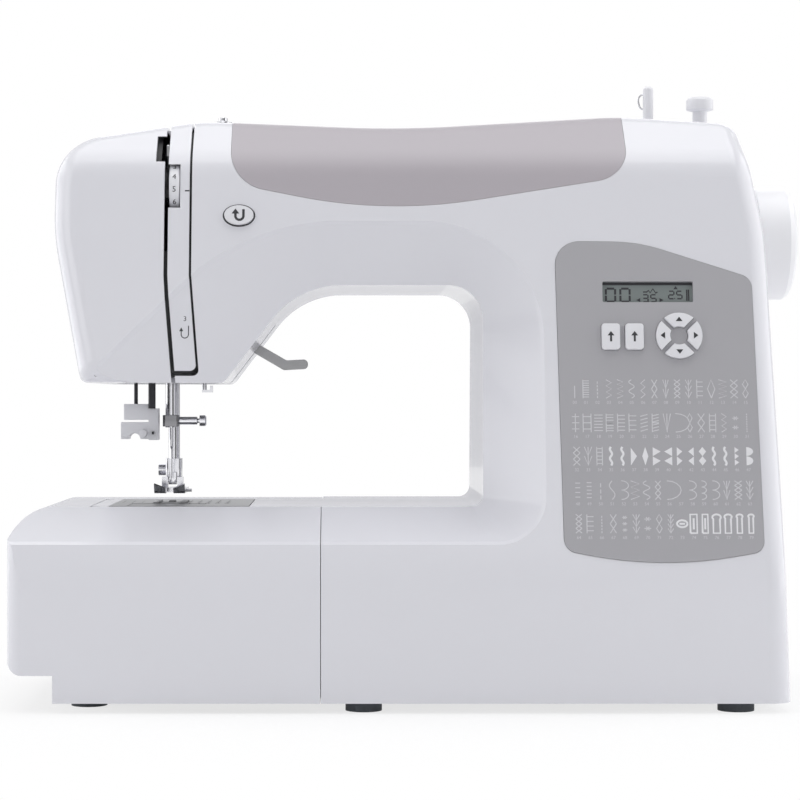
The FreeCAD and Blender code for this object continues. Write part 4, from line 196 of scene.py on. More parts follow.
def make_polish_group():
    """Painted reflection: light and dark bands in the colour by the way a polished surface faces, as bright
    metal shows in a studio.
    """
    group, source, sink = start_group("PaintedReflectionBands", {"Colour": COLOUR}, {"Colour": COLOUR})
    place = group.nodes.new("ShaderNodeTexCoord")
    parts = group.nodes.new("ShaderNodeSeparateXYZ")
    centred = group.nodes.new("ShaderNodeMapRange")
    centred.inputs["From Min"].default_value = -1.0
    ramp = group.nodes.new("ShaderNodeValToRGB")
    stops = ramp.color_ramp.elements
    while len(stops) < len(PAINTED_REFLECTION_BANDS):
        stops.new(0.5)
    for stop, (position, shade) in zip(stops, PAINTED_REFLECTION_BANDS):
        stop.position = position
        stop.color = (shade, shade, shade * PAINTED_REFLECTION_BLUE, 1)
    tone = colour_mix(group, "MULTIPLY")
    tone.inputs["Factor"].default_value = 1.0
    link = group.links.new
    link(place.outputs["Normal"], parts.inputs["Vector"])
    link(parts.outputs["X"], centred.inputs["Value"])
    link(centred.outputs["Result"], ramp.inputs["Fac"])
    link(source.outputs["Colour"], tone.inputs["A"])
    link(ramp.outputs["Color"], tone.inputs["B"])
    link(tone.outputs["Result"], sink.inputs["Colour"])
    return group


grain_group = make_grain_group()
tint_group = make_tint_group()
painted_reflection_group = make_polish_group()


def group_node(tree, group, **values):
    """An effect placed in a material, with its own values."""
    node = tree.nodes.new("ShaderNodeGroup")
    node.node_tree = group
    for socket, value in values.items():
        node.inputs[socket].default_value = value
    return node


def finish_of(name, colour, roughness, scale=900.0, depth=0.02, tint=0.08, bands=False, **sockets):
    """A material with grain and a slight tint, or with painted reflection bands in its colour instead;
    other sockets are given by name.
    """
    material = bpy.data.materials.new(name)
    material.use_nodes = True
    tree = material.node_tree
    shader = tree.nodes["Principled BSDF"]
    grain = group_node(
        tree, grain_group, Scale=scale, Roughness=roughness, Variation=GRAIN_VARIATION, Depth=depth
    )
    # Painted reflection bands in the colour, in place of the tint
    if bands:
        shade = group_node(tree, painted_reflection_group, Colour=colour)
    else:
        shade = group_node(tree, tint_group, Colour=colour, Amount=tint)
    tree.links.new(shade.outputs["Colour"], shader.inputs["Base Color"])
    tree.links.new(grain.outputs["Roughness"], shader.inputs["Roughness"])
    tree.links.new(grain.outputs["Normal"], shader.inputs["Normal"])
    for socket, value in sockets.items():
        shader.inputs[socket.replace("_", " ")].default_value = value
    return material


def brushed_of(name, colour, roughness, stretch):
    """Metal brushed along one axis: noise drawn out along it shades the normal."""
    material = finish_of(name, colour, roughness, Metallic=1.0)
    tree = material.node_tree
    place = tree.nodes.new("ShaderNodeTexCoord")
    lines = tree.nodes.new("ShaderNodeMapping")
    lines.inputs["Scale"].default_value = stretch
    noise = tree.nodes.new("ShaderNodeTexNoise")
    noise.inputs["Scale"].default_value = 1.0
    bump = tree.nodes.new("ShaderNodeBump")
    bump.inputs["Strength"].default_value = BRUSH_STRENGTH
    bump.inputs["Distance"].default_value = BRUSH_RELIEF
    link = tree.links.new
    link(place.outputs["Object"], lines.inputs["Vector"])
    link(lines.outputs["Vector"], noise.inputs["Vector"])
    link(noise.outputs["Fac"], bump.inputs["Height"])
    link(bump.outputs["Normal"], tree.nodes["Principled BSDF"].inputs["Normal"])
    return material


# Polished metal whose colour carries painted reflection bands, light and dark by the way each surface faces
def polished_of(name, colour, roughness):
    return finish_of(name, colour, roughness, depth=0.01, bands=True, Metallic=1.0)


finishes = {
    "white_gloss": finish_of("WhiteGloss", WHITE, 0.22, depth=0.008, tint=0.03, Coat_Weight=0.35),
    "white_parts": finish_of("WhiteParts", WHITE_PARTS, 0.34, tint=0.05),
    "band_grey": finish_of("BandGrey", BAND_GREY, 0.38, tint=0.06),
    "panel_grey": finish_of("PanelGrey", PANEL_GREY, 0.45, scale=1500, depth=0.04, tint=0.06),
    "lever_grey": finish_of("LeverGrey", LEVER_GREY, 0.40),
    "black_plastic": finish_of("BlackPlastic", BLACK, 0.48, depth=0.05),
    "display": finish_of("Display", DISPLAY, 0.16, depth=0.0, tint=0.10, Coat_Weight=0.6),
    "board_green": finish_of("BoardLacquer", BOARD, 0.35),
    "rubber": finish_of("FootRubber", RUBBER, 0.72, scale=500, depth=0.15),
    "plate_steel": brushed_of("PlateSteel", PLATE, 0.34, (40, 2500, 2500)),
    "clear_cover": finish_of(
        "ClearCover", SMOKED, 0.32, depth=0.0, tint=0.0, Transmission_Weight=0.3, Specular_IOR_Level=0.25
    ),
    "steel": brushed_of("TurnedSteel", STEEL, 0.36, (2200, 60, 60)),
    "bright_steel": polished_of("BrightSteel", BRIGHT, 0.16),
    "dark_steel": finish_of("DarkSteel", DARK_STEEL, 0.35, Metallic=1.0),
    "bobbin_plastic": finish_of("BobbinPlastic", CLEAR, 0.25),
    "pulley_plastic": finish_of("PulleyNylon", NYLON, 0.45),
    "cast_frame": finish_of("CastFrame", CASTING, 0.55, scale=350, depth=0.25, Metallic=1.0),
}
# Dark ink for prints, which also draws the painted shade and painted shadow marks
dark_ink_and_painted_shade = finish_of("DarkInkAndPaintedShade", DARK_INK_AND_PAINTED_SHADE, 0.5, depth=0.0)
pale_ink = finish_of("PaleInk", PALE_INK, 0.5, depth=0.0, tint=0.03)
light_ink = finish_of("LightInk", LIGHT_INK, 0.5, depth=0.0, tint=0.03)

slot_of_node = {entry["node"]: entry["material_slot"] for entry in frame["record"]["subparts"]}
body_of_node = {
    label: body for body, labels in frame["record"]["behaviour"]["bodies"].items() for label in labels
}
for label, slot in slot_of_node.items():
    nodes[label].data.materials.clear()
    nodes[label].data.materials.append(finishes[slot])
nodes["handwheel"].data.materials[0] = finish_of("WheelWhite", WHITE_WHEEL, 0.3, tint=0.03)
nodes["needle_clamp"].data.materials[0] = polished_of("ClampSteel", CLAMP_STEEL, 0.2)

# Prints: how far they stand off, and how flat a stroke's round section is pressed
INK_LIFT = 0.02
PRINT_HEIGHT = 0.06
NUMERAL_DEPTH = 0.03
ICON_FLAT, MARK_FLAT, BOLD_FLAT, SATIN_FLAT = 0.35, 0.12, 0.15, 0.1


# Placing and drawing helpers, which take millimetres
def on_lean(x, z, rise=0.0):
    """A frame on the leaning plane: X along the machine, Y up the slope, Z out of it."""
    spot = Vector((x * MM, FRONT + (z - LEAN_START) * MM * math.tan(LEAN), z * MM))
    out = Vector((0, -math.cos(LEAN), math.sin(LEAN)))
    turn = Matrix(((1, 0, 0), (0, math.sin(LEAN), -math.cos(LEAN)), (0, math.cos(LEAN), math.sin(LEAN))))
    return Matrix.Translation(spot + out * rise * MM) @ turn.to_4x4()


def shift(x, y):
    return Matrix.Translation((x * MM, y * MM, 0))


def as_piece(name, mesh, material, body):
    """A new piece that rides a body and fills a material slot."""
    mesh.materials.clear()
    mesh.materials.append(material)
    item = bpy.data.objects.new(name, mesh)
    bpy.context.scene.collection.objects.link(item)
    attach(item, body)
    return item


# Dark pieces in ink: prints, and the painted shade and painted shadow marks
def dark_print(name, mesh, body="machine"):
    as_piece(name, mesh, dark_ink_and_painted_shade, body)


def mesh_of(bm, name, smooth=False):
    mesh = bpy.data.meshes.new(name)
    bmesh.ops.recalc_face_normals(bm, faces=bm.faces)
    bm.to_mesh(mesh)
    bm.free()
    for polygon in mesh.polygons:
        polygon.use_smooth = smooth
    return mesh


def start_wire(name, width, roundness):
    """An empty curve with a round section of this width."""
    curve = bpy.data.curves.new(name, "CURVE")
    curve.dimensions = "3D"
    curve.bevel_depth = width / 2 * MM
    curve.bevel_resolution = roundness
    curve.use_fill_caps = True
    return curve


def curve_mesh(curve, place):
    """A curve or text made a mesh, then put in its place."""
    holder = bpy.data.objects.new(curve.name, curve)
    mesh = bpy.data.meshes.new_from_object(holder)
    mesh.transform(place)
    bpy.data.objects.remove(holder)
    bpy.data.curves.remove(curve)
    return mesh


def line_mesh(strokes, width, place, flat=ICON_FLAT):
    """Drawn strokes as one mesh: strokes are lists of (x, y) on the place's own plane."""
    curve = start_wire("Strokes", width, 1)
    for points in strokes:
        spline = curve.splines.new("POLY")
        spline.points.add(len(points) - 1)
        for point, (x, y) in zip(spline.points, points):
            point.co = (x * MM, y * MM, 0, 1)
    return curve_mesh(curve, place @ Matrix.Diagonal((1, 1, flat, 1)))


def text_mesh(text, size, place):
    """A short numeral, centred on the place's origin, as a thin raised print."""
    curve = bpy.data.curves.new("Numeral", "FONT")
    curve.body = text
    curve.size = size * MM
    curve.align_x = "CENTER"
    curve.align_y = "CENTER"
    curve.extrude = NUMERAL_DEPTH * MM
    curve.resolution_u = 2
    return curve_mesh(curve, place)


def filled_mesh(outlines, place):
    """Flat printed shapes: each outline is a closed list of (x, y)."""
    bm = bmesh.new()
    for outline in outlines:
        rim = [bm.verts.new((x * MM, y * MM, 0)) for x, y in outline]
        face = bm.faces.new(rim)
        raised = bmesh.ops.extrude_face_region(bm, geom=[face])["geom"]
        tops = [part for part in raised if isinstance(part, bmesh.types.BMVert)]
        bmesh.ops.translate(bm, verts=tops, vec=(0, 0, PRINT_HEIGHT * MM))
    mesh = mesh_of(bm, "Print")
    mesh.transform(place)
    return mesh


def joined(meshes, name):
    """Several meshes put together as one."""
    bm = bmesh.new()
    for mesh in meshes:
        bm.from_mesh(mesh)
        bpy.data.meshes.remove(mesh)
    return mesh_of(bm, name)


def arc(centre, radius, start, end, steps):
    """Points of an arc, from one angle in degrees to another."""
    x, y = centre
    turns = [math.radians(start + (end - start) * k / steps) for k in range(steps + 1)]
    return [(x + radius * math.cos(turn), y + radius * math.sin(turn)) for turn in turns]


def u_turn(centre, radius, start, end):
    """A line that comes down on the right, turns round a centre and goes up on the left."""
    right, left = centre[0] + radius, centre[0] - radius
    return [(right, start)] + arc(centre, radius, 0, -180, 12) + [(left, end)]


# Stitch icons on the control panel
ICON_ROWS = (158.3, 141.6, 125.3, 108.7, 92.4)
ICON_LEFT, ICON_PITCH, ICON_COUNT = 78.8, 5.61, 16
ICON_ROW_SHIFT = 0.25
ICON_HEIGHT = 9.2
ICON_FOOT, ICON_TOP = -ICON_HEIGHT / 2, ICON_HEIGHT / 2
ICON_SPREAD = 1.5
ICON_LINE, SATIN_LINE, HOLE_LINE = 0.5, 1.1, 0.95
NUMBER_SIZE, NUMBER_DROP = 2.2, 6.8
PANEL_RISE = 0.3
DASH_PITCH, SHORTEST_DASH = 1.5, 0.2
SATIN_FILL = 0.96
SLIT_SHARE = 0.6
KEYHOLE_FOOT = 0.8


def steps_up(count):
    """The icon's height in equal steps: their feet, and the height of one."""
    step = ICON_HEIGHT / count
    return [ICON_FOOT + step * k for k in range(count)], step


def upright(x):
    return [(x, ICON_FOOT), (x, ICON_TOP)]


def dashes(length):
    strokes = []
    y = ICON_FOOT
    while y < ICON_TOP - SHORTEST_DASH:
        strokes.append([(0, y), (0, min(y + length, ICON_TOP))])
        y += length * DASH_PITCH
    return strokes


def zigzag(width, pitch):
    count = max(2, round(ICON_HEIGHT / pitch))
    step = ICON_HEIGHT / count
    return [[((k % 2 - 0.5) * width, ICON_FOOT + k * step) for k in range(count + 1)]]


def waves(width, count):
    total = 10 * count
    return [[
        (width / 2 * math.sin(2 * math.pi * count * k / total), ICON_FOOT + ICON_HEIGHT * k / total)
        for k in range(total + 1)
    ]]


def scallop(width, count):
    feet, step = steps_up(count)
    return [arc((-width / 2, foot + step / 2), step / 2, -90, 90, 8) for foot in feet]


def rungs(width, count, slant=0.0):
    """Short lines across, one above the other."""
    feet, step = steps_up(count)
    middles = [foot + step / 2 for foot in feet]
    return [[(-width / 2, y - slant / 2), (width / 2, y + slant / 2)] for y in middles]


def ladder(width, count):
    return [upright(-width / 2), upright(width / 2)] + rungs(width, count)


def comb(width, count):
    return [upright(-width / 2)] + rungs(width, count)


def diamonds(width, count):
    feet, step = steps_up(count)
    half, rise = width / 2, step / 2
    return [
        [(0, foot), (half, foot + rise), (0, foot + step), (-half, foot + rise), (0, foot)] for foot in feet
    ]


def crosses(width, count):
    feet, step = steps_up(count)
    strokes = []
    for foot in feet:
        strokes.append([(-width / 2, foot), (width / 2, foot + step)])
        strokes.append([(width / 2, foot), (-width / 2, foot + step)])
    return strokes


def leaves(width, count):
    feet, step = steps_up(count)
    half = width / 2
    return [upright(0)] + [[(-half, foot + step), (0, foot), (half, foot + step)] for foot in feet]


def stars(size, count):
    feet, step = steps_up(count)
    strokes = []
    for foot in feet:
        middle = foot + step / 2
        for turn in (0, 60, 120):
            u, v = size / 2 * math.cos(math.radians(turn)), size / 2 * math.sin(math.radians(turn))
            strokes.append([(-u, middle - v), (u, middle + v)])
    return strokes


def eyelet(radius, slit):
    return [arc((0, 0), radius, 0, 360, 20), [(-slit / 2, 0), (slit / 2, 0)]]


def buttonhole(width):
    half = width / 2
    corners = [(-half, ICON_FOOT), (half, ICON_FOOT), (half, ICON_TOP), (-half, ICON_TOP)]
    slit = [(0, ICON_FOOT * SLIT_SHARE), (0, ICON_TOP * SLIT_SHARE)]
    return [corners + corners[:1], slit]


def keyhole(width):
    half = width / 2
    eye = arc((0, ICON_TOP - half), half, -40, 220, 12)
    foot = [(-half * KEYHOLE_FOOT, ICON_FOOT), (half * KEYHOLE_FOOT, ICON_FOOT)]
    return [eye + foot + eye[:1]]


def satin_wedges(width, count, side):
    """Filled triangles along one edge, all pointing to the same side."""
    feet, step = steps_up(count)
    edge = -side * width / 2
    return [[(edge, foot), (-edge, foot + step / 2), (edge, foot + step * SATIN_FILL)] for foot in feet]


def satin_diamonds(width, count):
    return [outline[:-1] for outline in diamonds(width, count)]


def satin_scallops(width, count):
    feet, step = steps_up(count)
    return [arc((-width / 4, foot + step / 2), step / 2 * SATIN_FILL, -90, 90, 10) for foot in feet]


LINE_ICONS = (
    (dashes(6.2), comb(2.0, 8), dashes(1.2), zigzag(1.8, 1.5), zigzag(2.0, 1.2), waves(1.8, 2),
     zigzag(1.4, 1.8), crosses(1.8, 2), leaves(1.8, 2), crosses(2.0, 4), leaves(2.0, 3), comb(2.0, 4),
     diamonds(2.4, 1), zigzag(2.6, 1.1), crosses(2.4, 3), diamonds(1.8, 2)),
    (comb(0.2, 1) + rungs(2.4, 3), ladder(2.6, 3), rungs(2.8, 6), rungs(2.4, 7) + comb(2.4, 1),
     comb(2.4, 5), comb(2.4, 4), rungs(2.4, 5, 1.0), rungs(2.2, 6, 0.8) + comb(2.2, 1), leaves(2.4, 1),
     scallop(1.8, 1), diamonds(1.6, 2), crosses(2.2, 2), ladder(2.0, 4), zigzag(1.6, 1.6), stars(2.0, 2),
     dashes(0.8)),
    (crosses(2.2, 3), leaves(2.4, 2), ladder(1.8, 5)) + ((),) * 13,
    (rungs(1.6, 4), rungs(1.6, 5), dashes(2.0), waves(1.8, 1), scallop(1.4, 2), zigzag(2.8, 1.5),
     waves(2.2, 2), crosses(1.8, 3), scallop(1.6, 1), (), scallop(2.0, 2), scallop(1.4, 3), scallop(1.8, 2),
     leaves(2.0, 2), crosses(2.4, 4), leaves(2.2, 3)),
    (crosses(2.0, 4), comb(2.2, 4), dashes(1.0), crosses(2.0, 2), stars(1.6, 3), leaves(2.2, 3),
     stars(2.2, 2), diamonds(1.8, 2), leaves(1.8, 4)) + ((),) * 7,
)
SATIN_ROW, SATIN_FIRST = 2, 3
SATIN_SHAPES = (
    None, None, satin_wedges(2.0, 1, 1), satin_diamonds(2.0, 1), satin_wedges(2.6, 2, 1),
    satin_wedges(2.6, 2, -1), satin_wedges(1.8, 2, 1), satin_wedges(1.8, 2, -1), satin_diamonds(2.4, 2),
    None, None, satin_wedges(1.4, 3, 1), satin_scallops(2.4, 2),
)
SATIN_WAVE = 1.0
HOLE_ROW, HOLE_FIRST = 4, 9
HOLE_SHAPES = (
    eyelet(1.7, 1.8), buttonhole(2.2), buttonhole(1.8),
    keyhole(2.8), keyhole(2.4), keyhole(2.0), keyhole(1.8),
)


def icon_place(row, column):
    x = ICON_LEFT + ICON_PITCH * column + ICON_ROW_SHIFT * row
    return on_lean(x, ICON_ROWS[row], PANEL_RISE + INK_LIFT)


def spread(outlines):
    return [[(x * ICON_SPREAD, y) for x, y in points] for points in outlines]


def print_panel():
    icons, numbers, bold = [], [], []
    drop = shift(0, -NUMBER_DROP)
    for row, kinds in enumerate(LINE_ICONS):
        for column, strokes in enumerate(kinds):
            place = icon_place(row, column)
            if strokes:
                icons.append(line_mesh(spread(strokes), ICON_LINE, place))
            numbers.append(text_mesh(f"{row * ICON_COUNT + column:02d}", NUMBER_SIZE, place @ drop))
    for column, outlines in enumerate(SATIN_SHAPES, start=SATIN_FIRST):
        place = icon_place(SATIN_ROW, column)
        if outlines:
            bold.append(filled_mesh(spread(outlines), place))
        else:
            bold.append(line_mesh(waves(SATIN_WAVE, 2), SATIN_LINE, place, SATIN_FLAT))
    for column, strokes in enumerate(HOLE_SHAPES, start=HOLE_FIRST):
        bold.append(line_mesh(spread(strokes), HOLE_LINE, icon_place(HOLE_ROW, column), BOLD_FLAT))
    as_piece("panel_icons", joined(icons, "PanelIcons"), pale_ink, "machine")
    as_piece("panel_numbers", joined(numbers, "PanelNumbers"), pale_ink, "machine")
    as_piece("panel_satin", joined(bold, "PanelSatin"), light_ink, "machine")


# Marks on the buttons and keys
CONTROL_LEFT = 70.5
BUTTON_RISE = 2.5
BUTTON_HEIGHT = 184.0
BUTTONS = {"left_button": CONTROL_LEFT + 26.5, "right_button": CONTROL_LEFT + 38.2}
RING_X, RING_HEIGHT = CONTROL_LEFT + 60.3, 184.5
RING_KEYS = ("key_right", "key_up", "key_left", "key_down")
KEY_MIDDLE = 8.0
ARROW_UP = [(-0.5, -2.6), (0.5, -2.6), (0.5, 0.4), (1.7, 0.4), (0, 2.6), (-1.7, 0.4), (-0.5, 0.4)]
TRIANGLE = [(-0.9, -1.7), (1.3, 0), (-0.9, 1.7)]


def print_buttons():
    for label, x in BUTTONS.items():
        place = on_lean(x, BUTTON_HEIGHT, BUTTON_RISE + INK_LIFT)
        dark_print(label + "_arrow", filled_mesh([ARROW_UP], place), label)
    centre = on_lean(RING_X, RING_HEIGHT, BUTTON_RISE + INK_LIFT)
    for quarter, label in enumerate(RING_KEYS):
        turn = Matrix.Rotation(math.radians(90 * quarter), 4, "Z")
        place = centre @ turn @ shift(KEY_MIDDLE, 0)
        dark_print(label + "_arrow", filled_mesh([TRIANGLE], place), label)


# Display: seven-segment digits and signs, and a painted shadow strip along the window's top, measured from
# the window's lower left corner
SEGMENTS = {
    "a": ((0.1, 2), (0.9, 2)), "b": ((1, 1.08), (1, 1.92)), "c": ((1, 0.08), (1, 0.92)),
    "d": ((0.1, 0), (0.9, 0)), "e": ((0, 0.08), (0, 0.92)), "f": ((0, 1.08), (0, 1.92)),
    "g": ((0.1, 1), (0.9, 1)),
}
DIGITS = {"0": "abcdef", "2": "abged", "3": "abgcd", "5": "afgcd"}
DISPLAY_CORNER = (93.4, 201.4)
DISPLAY_SINK = 2.1
# Digit, left edge, foot, width and height
STITCH_DIGITS = (("0", 2.0, 0.7, 4.6, 6.6), ("0", 9.2, 0.7, 4.6, 6.6))
SETTING_DIGITS = (
    ("3", 20.3, 0.6, 2.6, 3.6), ("5", 24.3, 0.6, 2.6, 3.6),
    ("2", 33.2, 2.2, 2.6, 3.8), ("5", 37.2, 2.2, 2.6, 3.8),
)
STITCH_LINE, SETTING_LINE = 1.05, 0.7
WIDTH_SIGN = [(20.5, 5.6), (22.3, 5.6), (23.2, 6.4), (24.0, 5.2), (25.4, 7.2), (26.8, 5.0), (27.6, 5.6)]
LENGTH_BARS = (42.2, 43.1)
BAR_LOW, BAR_HIGH = 1.2, 6.8
WIDTH_POINTERS = ([(17.0, 1.5), (19.0, 0.5), (19.0, 2.5)], [(30.6, 1.5), (28.6, 2.5), (28.6, 0.5)])
LENGTH_POINTER = [(35.6, 7.0), (37.8, 7.0), (36.7, 8.6)]
DECIMAL_POINTS = ((22.9, 0.3), (35.9, 2.1))
DECIMAL_SIZE = 0.5
# Painted shadow: a dark strip along the window's top edge, where the bezel's shade falls on the display
PAINTED_SHADOW_STRIP = [(0.1, 9.0), (44.9, 9.0), (44.9, 10.4), (0.1, 10.4)]


def digit_strokes(digits):
    return [
        [(left + u * wide, low + v * tall / 2) for u, v in SEGMENTS[letter]]
        for digit, left, low, wide, tall in digits
        for letter in DIGITS[digit]
    ]


def square(x, y, size):
    return [(x, y), (x + size, y), (x + size, y + size), (x, y + size)]


def print_display():
    place = on_lean(*DISPLAY_CORNER, INK_LIFT - DISPLAY_SINK)
    settings = digit_strokes(SETTING_DIGITS) + [WIDTH_SIGN]
    settings += [[(x, BAR_LOW), (x, BAR_HIGH)] for x in LENGTH_BARS]
    points = [square(x, y, DECIMAL_SIZE) for x, y in DECIMAL_POINTS]
    meshes = [
        line_mesh(digit_strokes(STITCH_DIGITS), STITCH_LINE, place, MARK_FLAT),
        line_mesh(settings, SETTING_LINE, place, MARK_FLAT),
        # The filled shapes include the painted shadow strip
        filled_mesh([*WIDTH_POINTERS, LENGTH_POINTER, *points, PAINTED_SHADOW_STRIP], place),
    ]
    dark_print("display_digits_and_shadow", joined(meshes, "DisplayDigitsAndShadow"))


# Reverse button's arrow and the dark line round it
REVERSE = (-87.2, 244.9)
REVERSE_WIDE, REVERSE_TALL, REVERSE_RISE = 14.6, 9.8, 2.0
REVERSE_HOOK = u_turn((0.3, -0.6), 2.0, 2.8, 0.7)
REVERSE_HEAD = [(-3.6, 0.6), (0.2, 0.6), (-1.7, 3.1)]
REVERSE_LINE = 1.25
RIM_GAP, RIM_LINE = 0.4, 0.9


def print_reverse():
    place = on_lean(*REVERSE, REVERSE_RISE + INK_LIFT)
    arrow = [line_mesh([REVERSE_HOOK], REVERSE_LINE, place, MARK_FLAT), filled_mesh([REVERSE_HEAD], place)]
    dark_print("reverse_arrow", joined(arrow, "ReverseArrow"), "reverse_button")
    half_wide, half_tall = REVERSE_WIDE / 2 + RIM_GAP, REVERSE_TALL / 2 + RIM_GAP
    rim = [(u * half_wide, v * half_tall) for u, v in arc((0, 0), 1, 0, 360, 48)]
    dark_print("reverse_outline", line_mesh([rim], RIM_LINE, on_lean(*REVERSE), BOLD_FLAT))


# Tension dial's numerals and the marks beside it and below it
DIAL_NUMBERS = range(1, 10)
DIAL_CENTRE_NUMBER = 5
DIAL_STEP, DIAL_MIDDLE = 29, -4
DIAL_SIZE = 4.0
INDEX = (-113.2, 257.5)
INDEX_STROKE = [(-1.1, 0), (1.1, 0)]
INDEX_LINE = 0.7
GUIDE = (-113.6, 186.5)
GUIDE_HOOK = u_turn((0, -1.2), 1.8, 3.2, 0.6)
GUIDE_HEAD = [(-2.8, 0.4), (-0.8, 0.4), (-1.8, 2.4)]
GUIDE_LINE = 0.5
GUIDE_NUMBER, GUIDE_NUMBER_SIZE, GUIDE_NUMBER_RISE = "3", 3.6, 6.6


def print_dial():
    low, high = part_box("tension_dial")
    middle = (low + high) / 2
    radius = (high.z - low.z) / 2
    meshes = []
    for number in DIAL_NUMBERS:
        angle = math.radians(DIAL_MIDDLE + (DIAL_CENTRE_NUMBER - number) * DIAL_STEP)
        turn = Matrix.Rotation(math.radians(90) - angle, 4, "X")
        place = Matrix.Translation(middle) @ turn @ Matrix.Translation((0, 0, radius + INK_LIFT * MM))
        meshes.append(text_mesh(str(number), DIAL_SIZE, place))
    dark_print("dial_numerals", joined(meshes, "DialNumerals"), "tension_dial")
    dark_print("dial_index", line_mesh([INDEX_STROKE], INDEX_LINE, on_lean(*INDEX, INK_LIFT), MARK_FLAT))
    guide = on_lean(*GUIDE, INK_LIFT)
    marks = [
        line_mesh([GUIDE_HOOK], GUIDE_LINE, guide, MARK_FLAT),
        filled_mesh([GUIDE_HEAD], guide),
        text_mesh(GUIDE_NUMBER, GUIDE_NUMBER_SIZE, guide @ shift(0, GUIDE_NUMBER_RISE)),
    ]
    dark_print("guide_mark", joined(marks, "GuideMark"))


# Ruled lines on the needle plate, measured from the needle
PLATE_LINES = (10, 15, 20, 25, 30)
PLATE_NEAR, PLATE_FAR = -13, 22
PLATE_TICKS, TICK_HALF = (-6, 0, 6), 1.2
LEFT_LINES = (15, 20, 25)
LEFT_NEAR, LEFT_FAR = -6, 14
RULE_LINE = 0.35
RULE_NUMBER_SIZE, RULE_NUMBER_Y = 2.6, -15.5


def print_plate():
    plate_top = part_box("needle_plate")[1].z
    needle_low, needle_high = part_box("needle")
    centre = (needle_low + needle_high) / 2
    place = Matrix.Translation((centre.x, centre.y, plate_top + INK_LIFT * MM))
    strokes = []
    for distance in PLATE_LINES:
        strokes.append([(distance, PLATE_NEAR), (distance, PLATE_FAR)])
        strokes += [[(distance - TICK_HALF, y), (distance + TICK_HALF, y)] for y in PLATE_TICKS]
    strokes += [[(-distance, LEFT_NEAR), (-distance, LEFT_FAR)] for distance in LEFT_LINES]
    meshes = [line_mesh(strokes, RULE_LINE, place, MARK_FLAT)]
    for distance in PLATE_LINES:
        meshes.append(text_mesh(str(distance), RULE_NUMBER_SIZE, place @ shift(distance, RULE_NUMBER_Y)))
    dark_print("plate_rules", joined(meshes, "PlateRules"))


# Wire clip on the winder spindle: its bends, from the spindle's axis and top
CLIP_WIRE = 0.9
CLIP_BENDS = (
    (-2.5, -12.0), (-4.4, -11.6), (-4.9, -9.0), (-5.4, -7.0), (-4.6, -5.0), (-3.4, -4.2), (-2.4, -4.0)
)


def bend_winder_clip():
    low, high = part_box("winder_spindle")
    centre = (low + high) / 2
    curve = start_wire("WinderClip", CLIP_WIRE, 3)
    spline = curve.splines.new("NURBS")
    spline.points.add(len(CLIP_BENDS) - 1)
    for point, (x, z) in zip(spline.points, CLIP_BENDS):
        point.co = (x * MM, 0, z * MM, 1)
    spline.use_endpoint_u = True
    spline.order_u = 4
    mesh = curve_mesh(curve, Matrix.Translation((centre.x, centre.y, high.z)))
    for polygon in mesh.polygons:
        polygon.use_smooth = True
    as_piece("winder_clip", mesh, finishes["bright_steel"], "winder_spindle")


# Cross-headed screws that hold the rear cover, by X and height; the head's shares are of its radius
BACK_SCREWS = ((-165, 200), (-165, 265), (165, 240), (170, 30), (20, 30), (120, 265))
RAY_START = 100
SCREW_RADIUS, SCREW_PROUD = 3.6, 0.2
SCREW_HEIGHT = 0.7
SCREW_PROFILE = ((0, 0.9), (0.45, 0.86), (0.8, 0.66), (1.0, 0.34), (1.0, -0.2))
CROSS_REACH, CROSS_LINE, CROSS_LIFT = 0.55 * SCREW_RADIUS, 0.3 * SCREW_RADIUS, 0.6 * SCREW_RADIUS
# The cross recess is not hollowed: dark lines lie on the head as painted shade where the recess would be
CROSS = [[(-CROSS_REACH, 0), (CROSS_REACH, 0)], [(0, -CROSS_REACH), (0, CROSS_REACH)]]
SAME_SPOT = 1e-7


def turn_screw(name, spot, out):
    """A domed screw head with its cross recess drawn as dark lines of painted shade, its axis along out."""
    radius = SCREW_RADIUS * MM
    bm = bmesh.new()
    verts = [bm.verts.new((u * radius, 0, v * radius * SCREW_HEIGHT)) for u, v in SCREW_PROFILE]
    edges = [bm.edges.new(pair) for pair in zip(verts, verts[1:])]
    bmesh.ops.spin(
        bm, geom=verts + edges, axis=(0, 0, 1), cent=(0, 0, 0), angle=2 * math.pi, steps=32, use_merge=True
    )
    bmesh.ops.remove_doubles(bm, verts=bm.verts, dist=SAME_SPOT)
    place = Matrix.Translation(spot) @ out.to_track_quat("Z", "Y").to_matrix().to_4x4()
    mesh = mesh_of(bm, name, smooth=True)
    mesh.transform(place)
    as_piece(name, mesh, finishes["steel"], "machine")
    lift = place @ Matrix.Translation((0, 0, CROSS_LIFT * MM))
    # Painted shade: the cross recess drawn as dark lines
    dark_print(name + "_recess_painted_shade", line_mesh(CROSS, CROSS_LINE, lift))


def fit_back_screws():
    """Each screw sits where a line from behind meets the rear cover."""
    for number, (x, z) in enumerate(BACK_SCREWS):
        start = Vector((x * MM, cad_high.y + RAY_START * MM, z * MM))
        hit, spot, normal, _ = nodes["rear_cover"].ray_cast(start, Vector((0, -1, 0)))
        if hit:
            out = normal if normal.y > 0 else -normal
            turn_screw(f"back_screw_{number}", spot + out * SCREW_PROUD * MM, out)


# Rounded edges on the small mouldings and fittings: the round's width in millimetres
EDGE_ROUNDS = {
    "left_button": 0.5, "right_button": 0.5,
    "key_up": 0.5, "key_down": 0.5, "key_left": 0.5, "key_right": 0.5,
    "handle": 0.9, "lifter_lever": 0.5, "needle_threader": 0.5, "foot_holder": 0.35, "needle_clamp": 0.3,
    "winder_stop": 0.4, "thread_guide": 0.25, "power_switch": 0.4, "power_inlet": 0.4,
}
SHARP = math.radians(40)
SAME_PLANE = math.radians(0.5)
SAME_CORNER = 1e-6


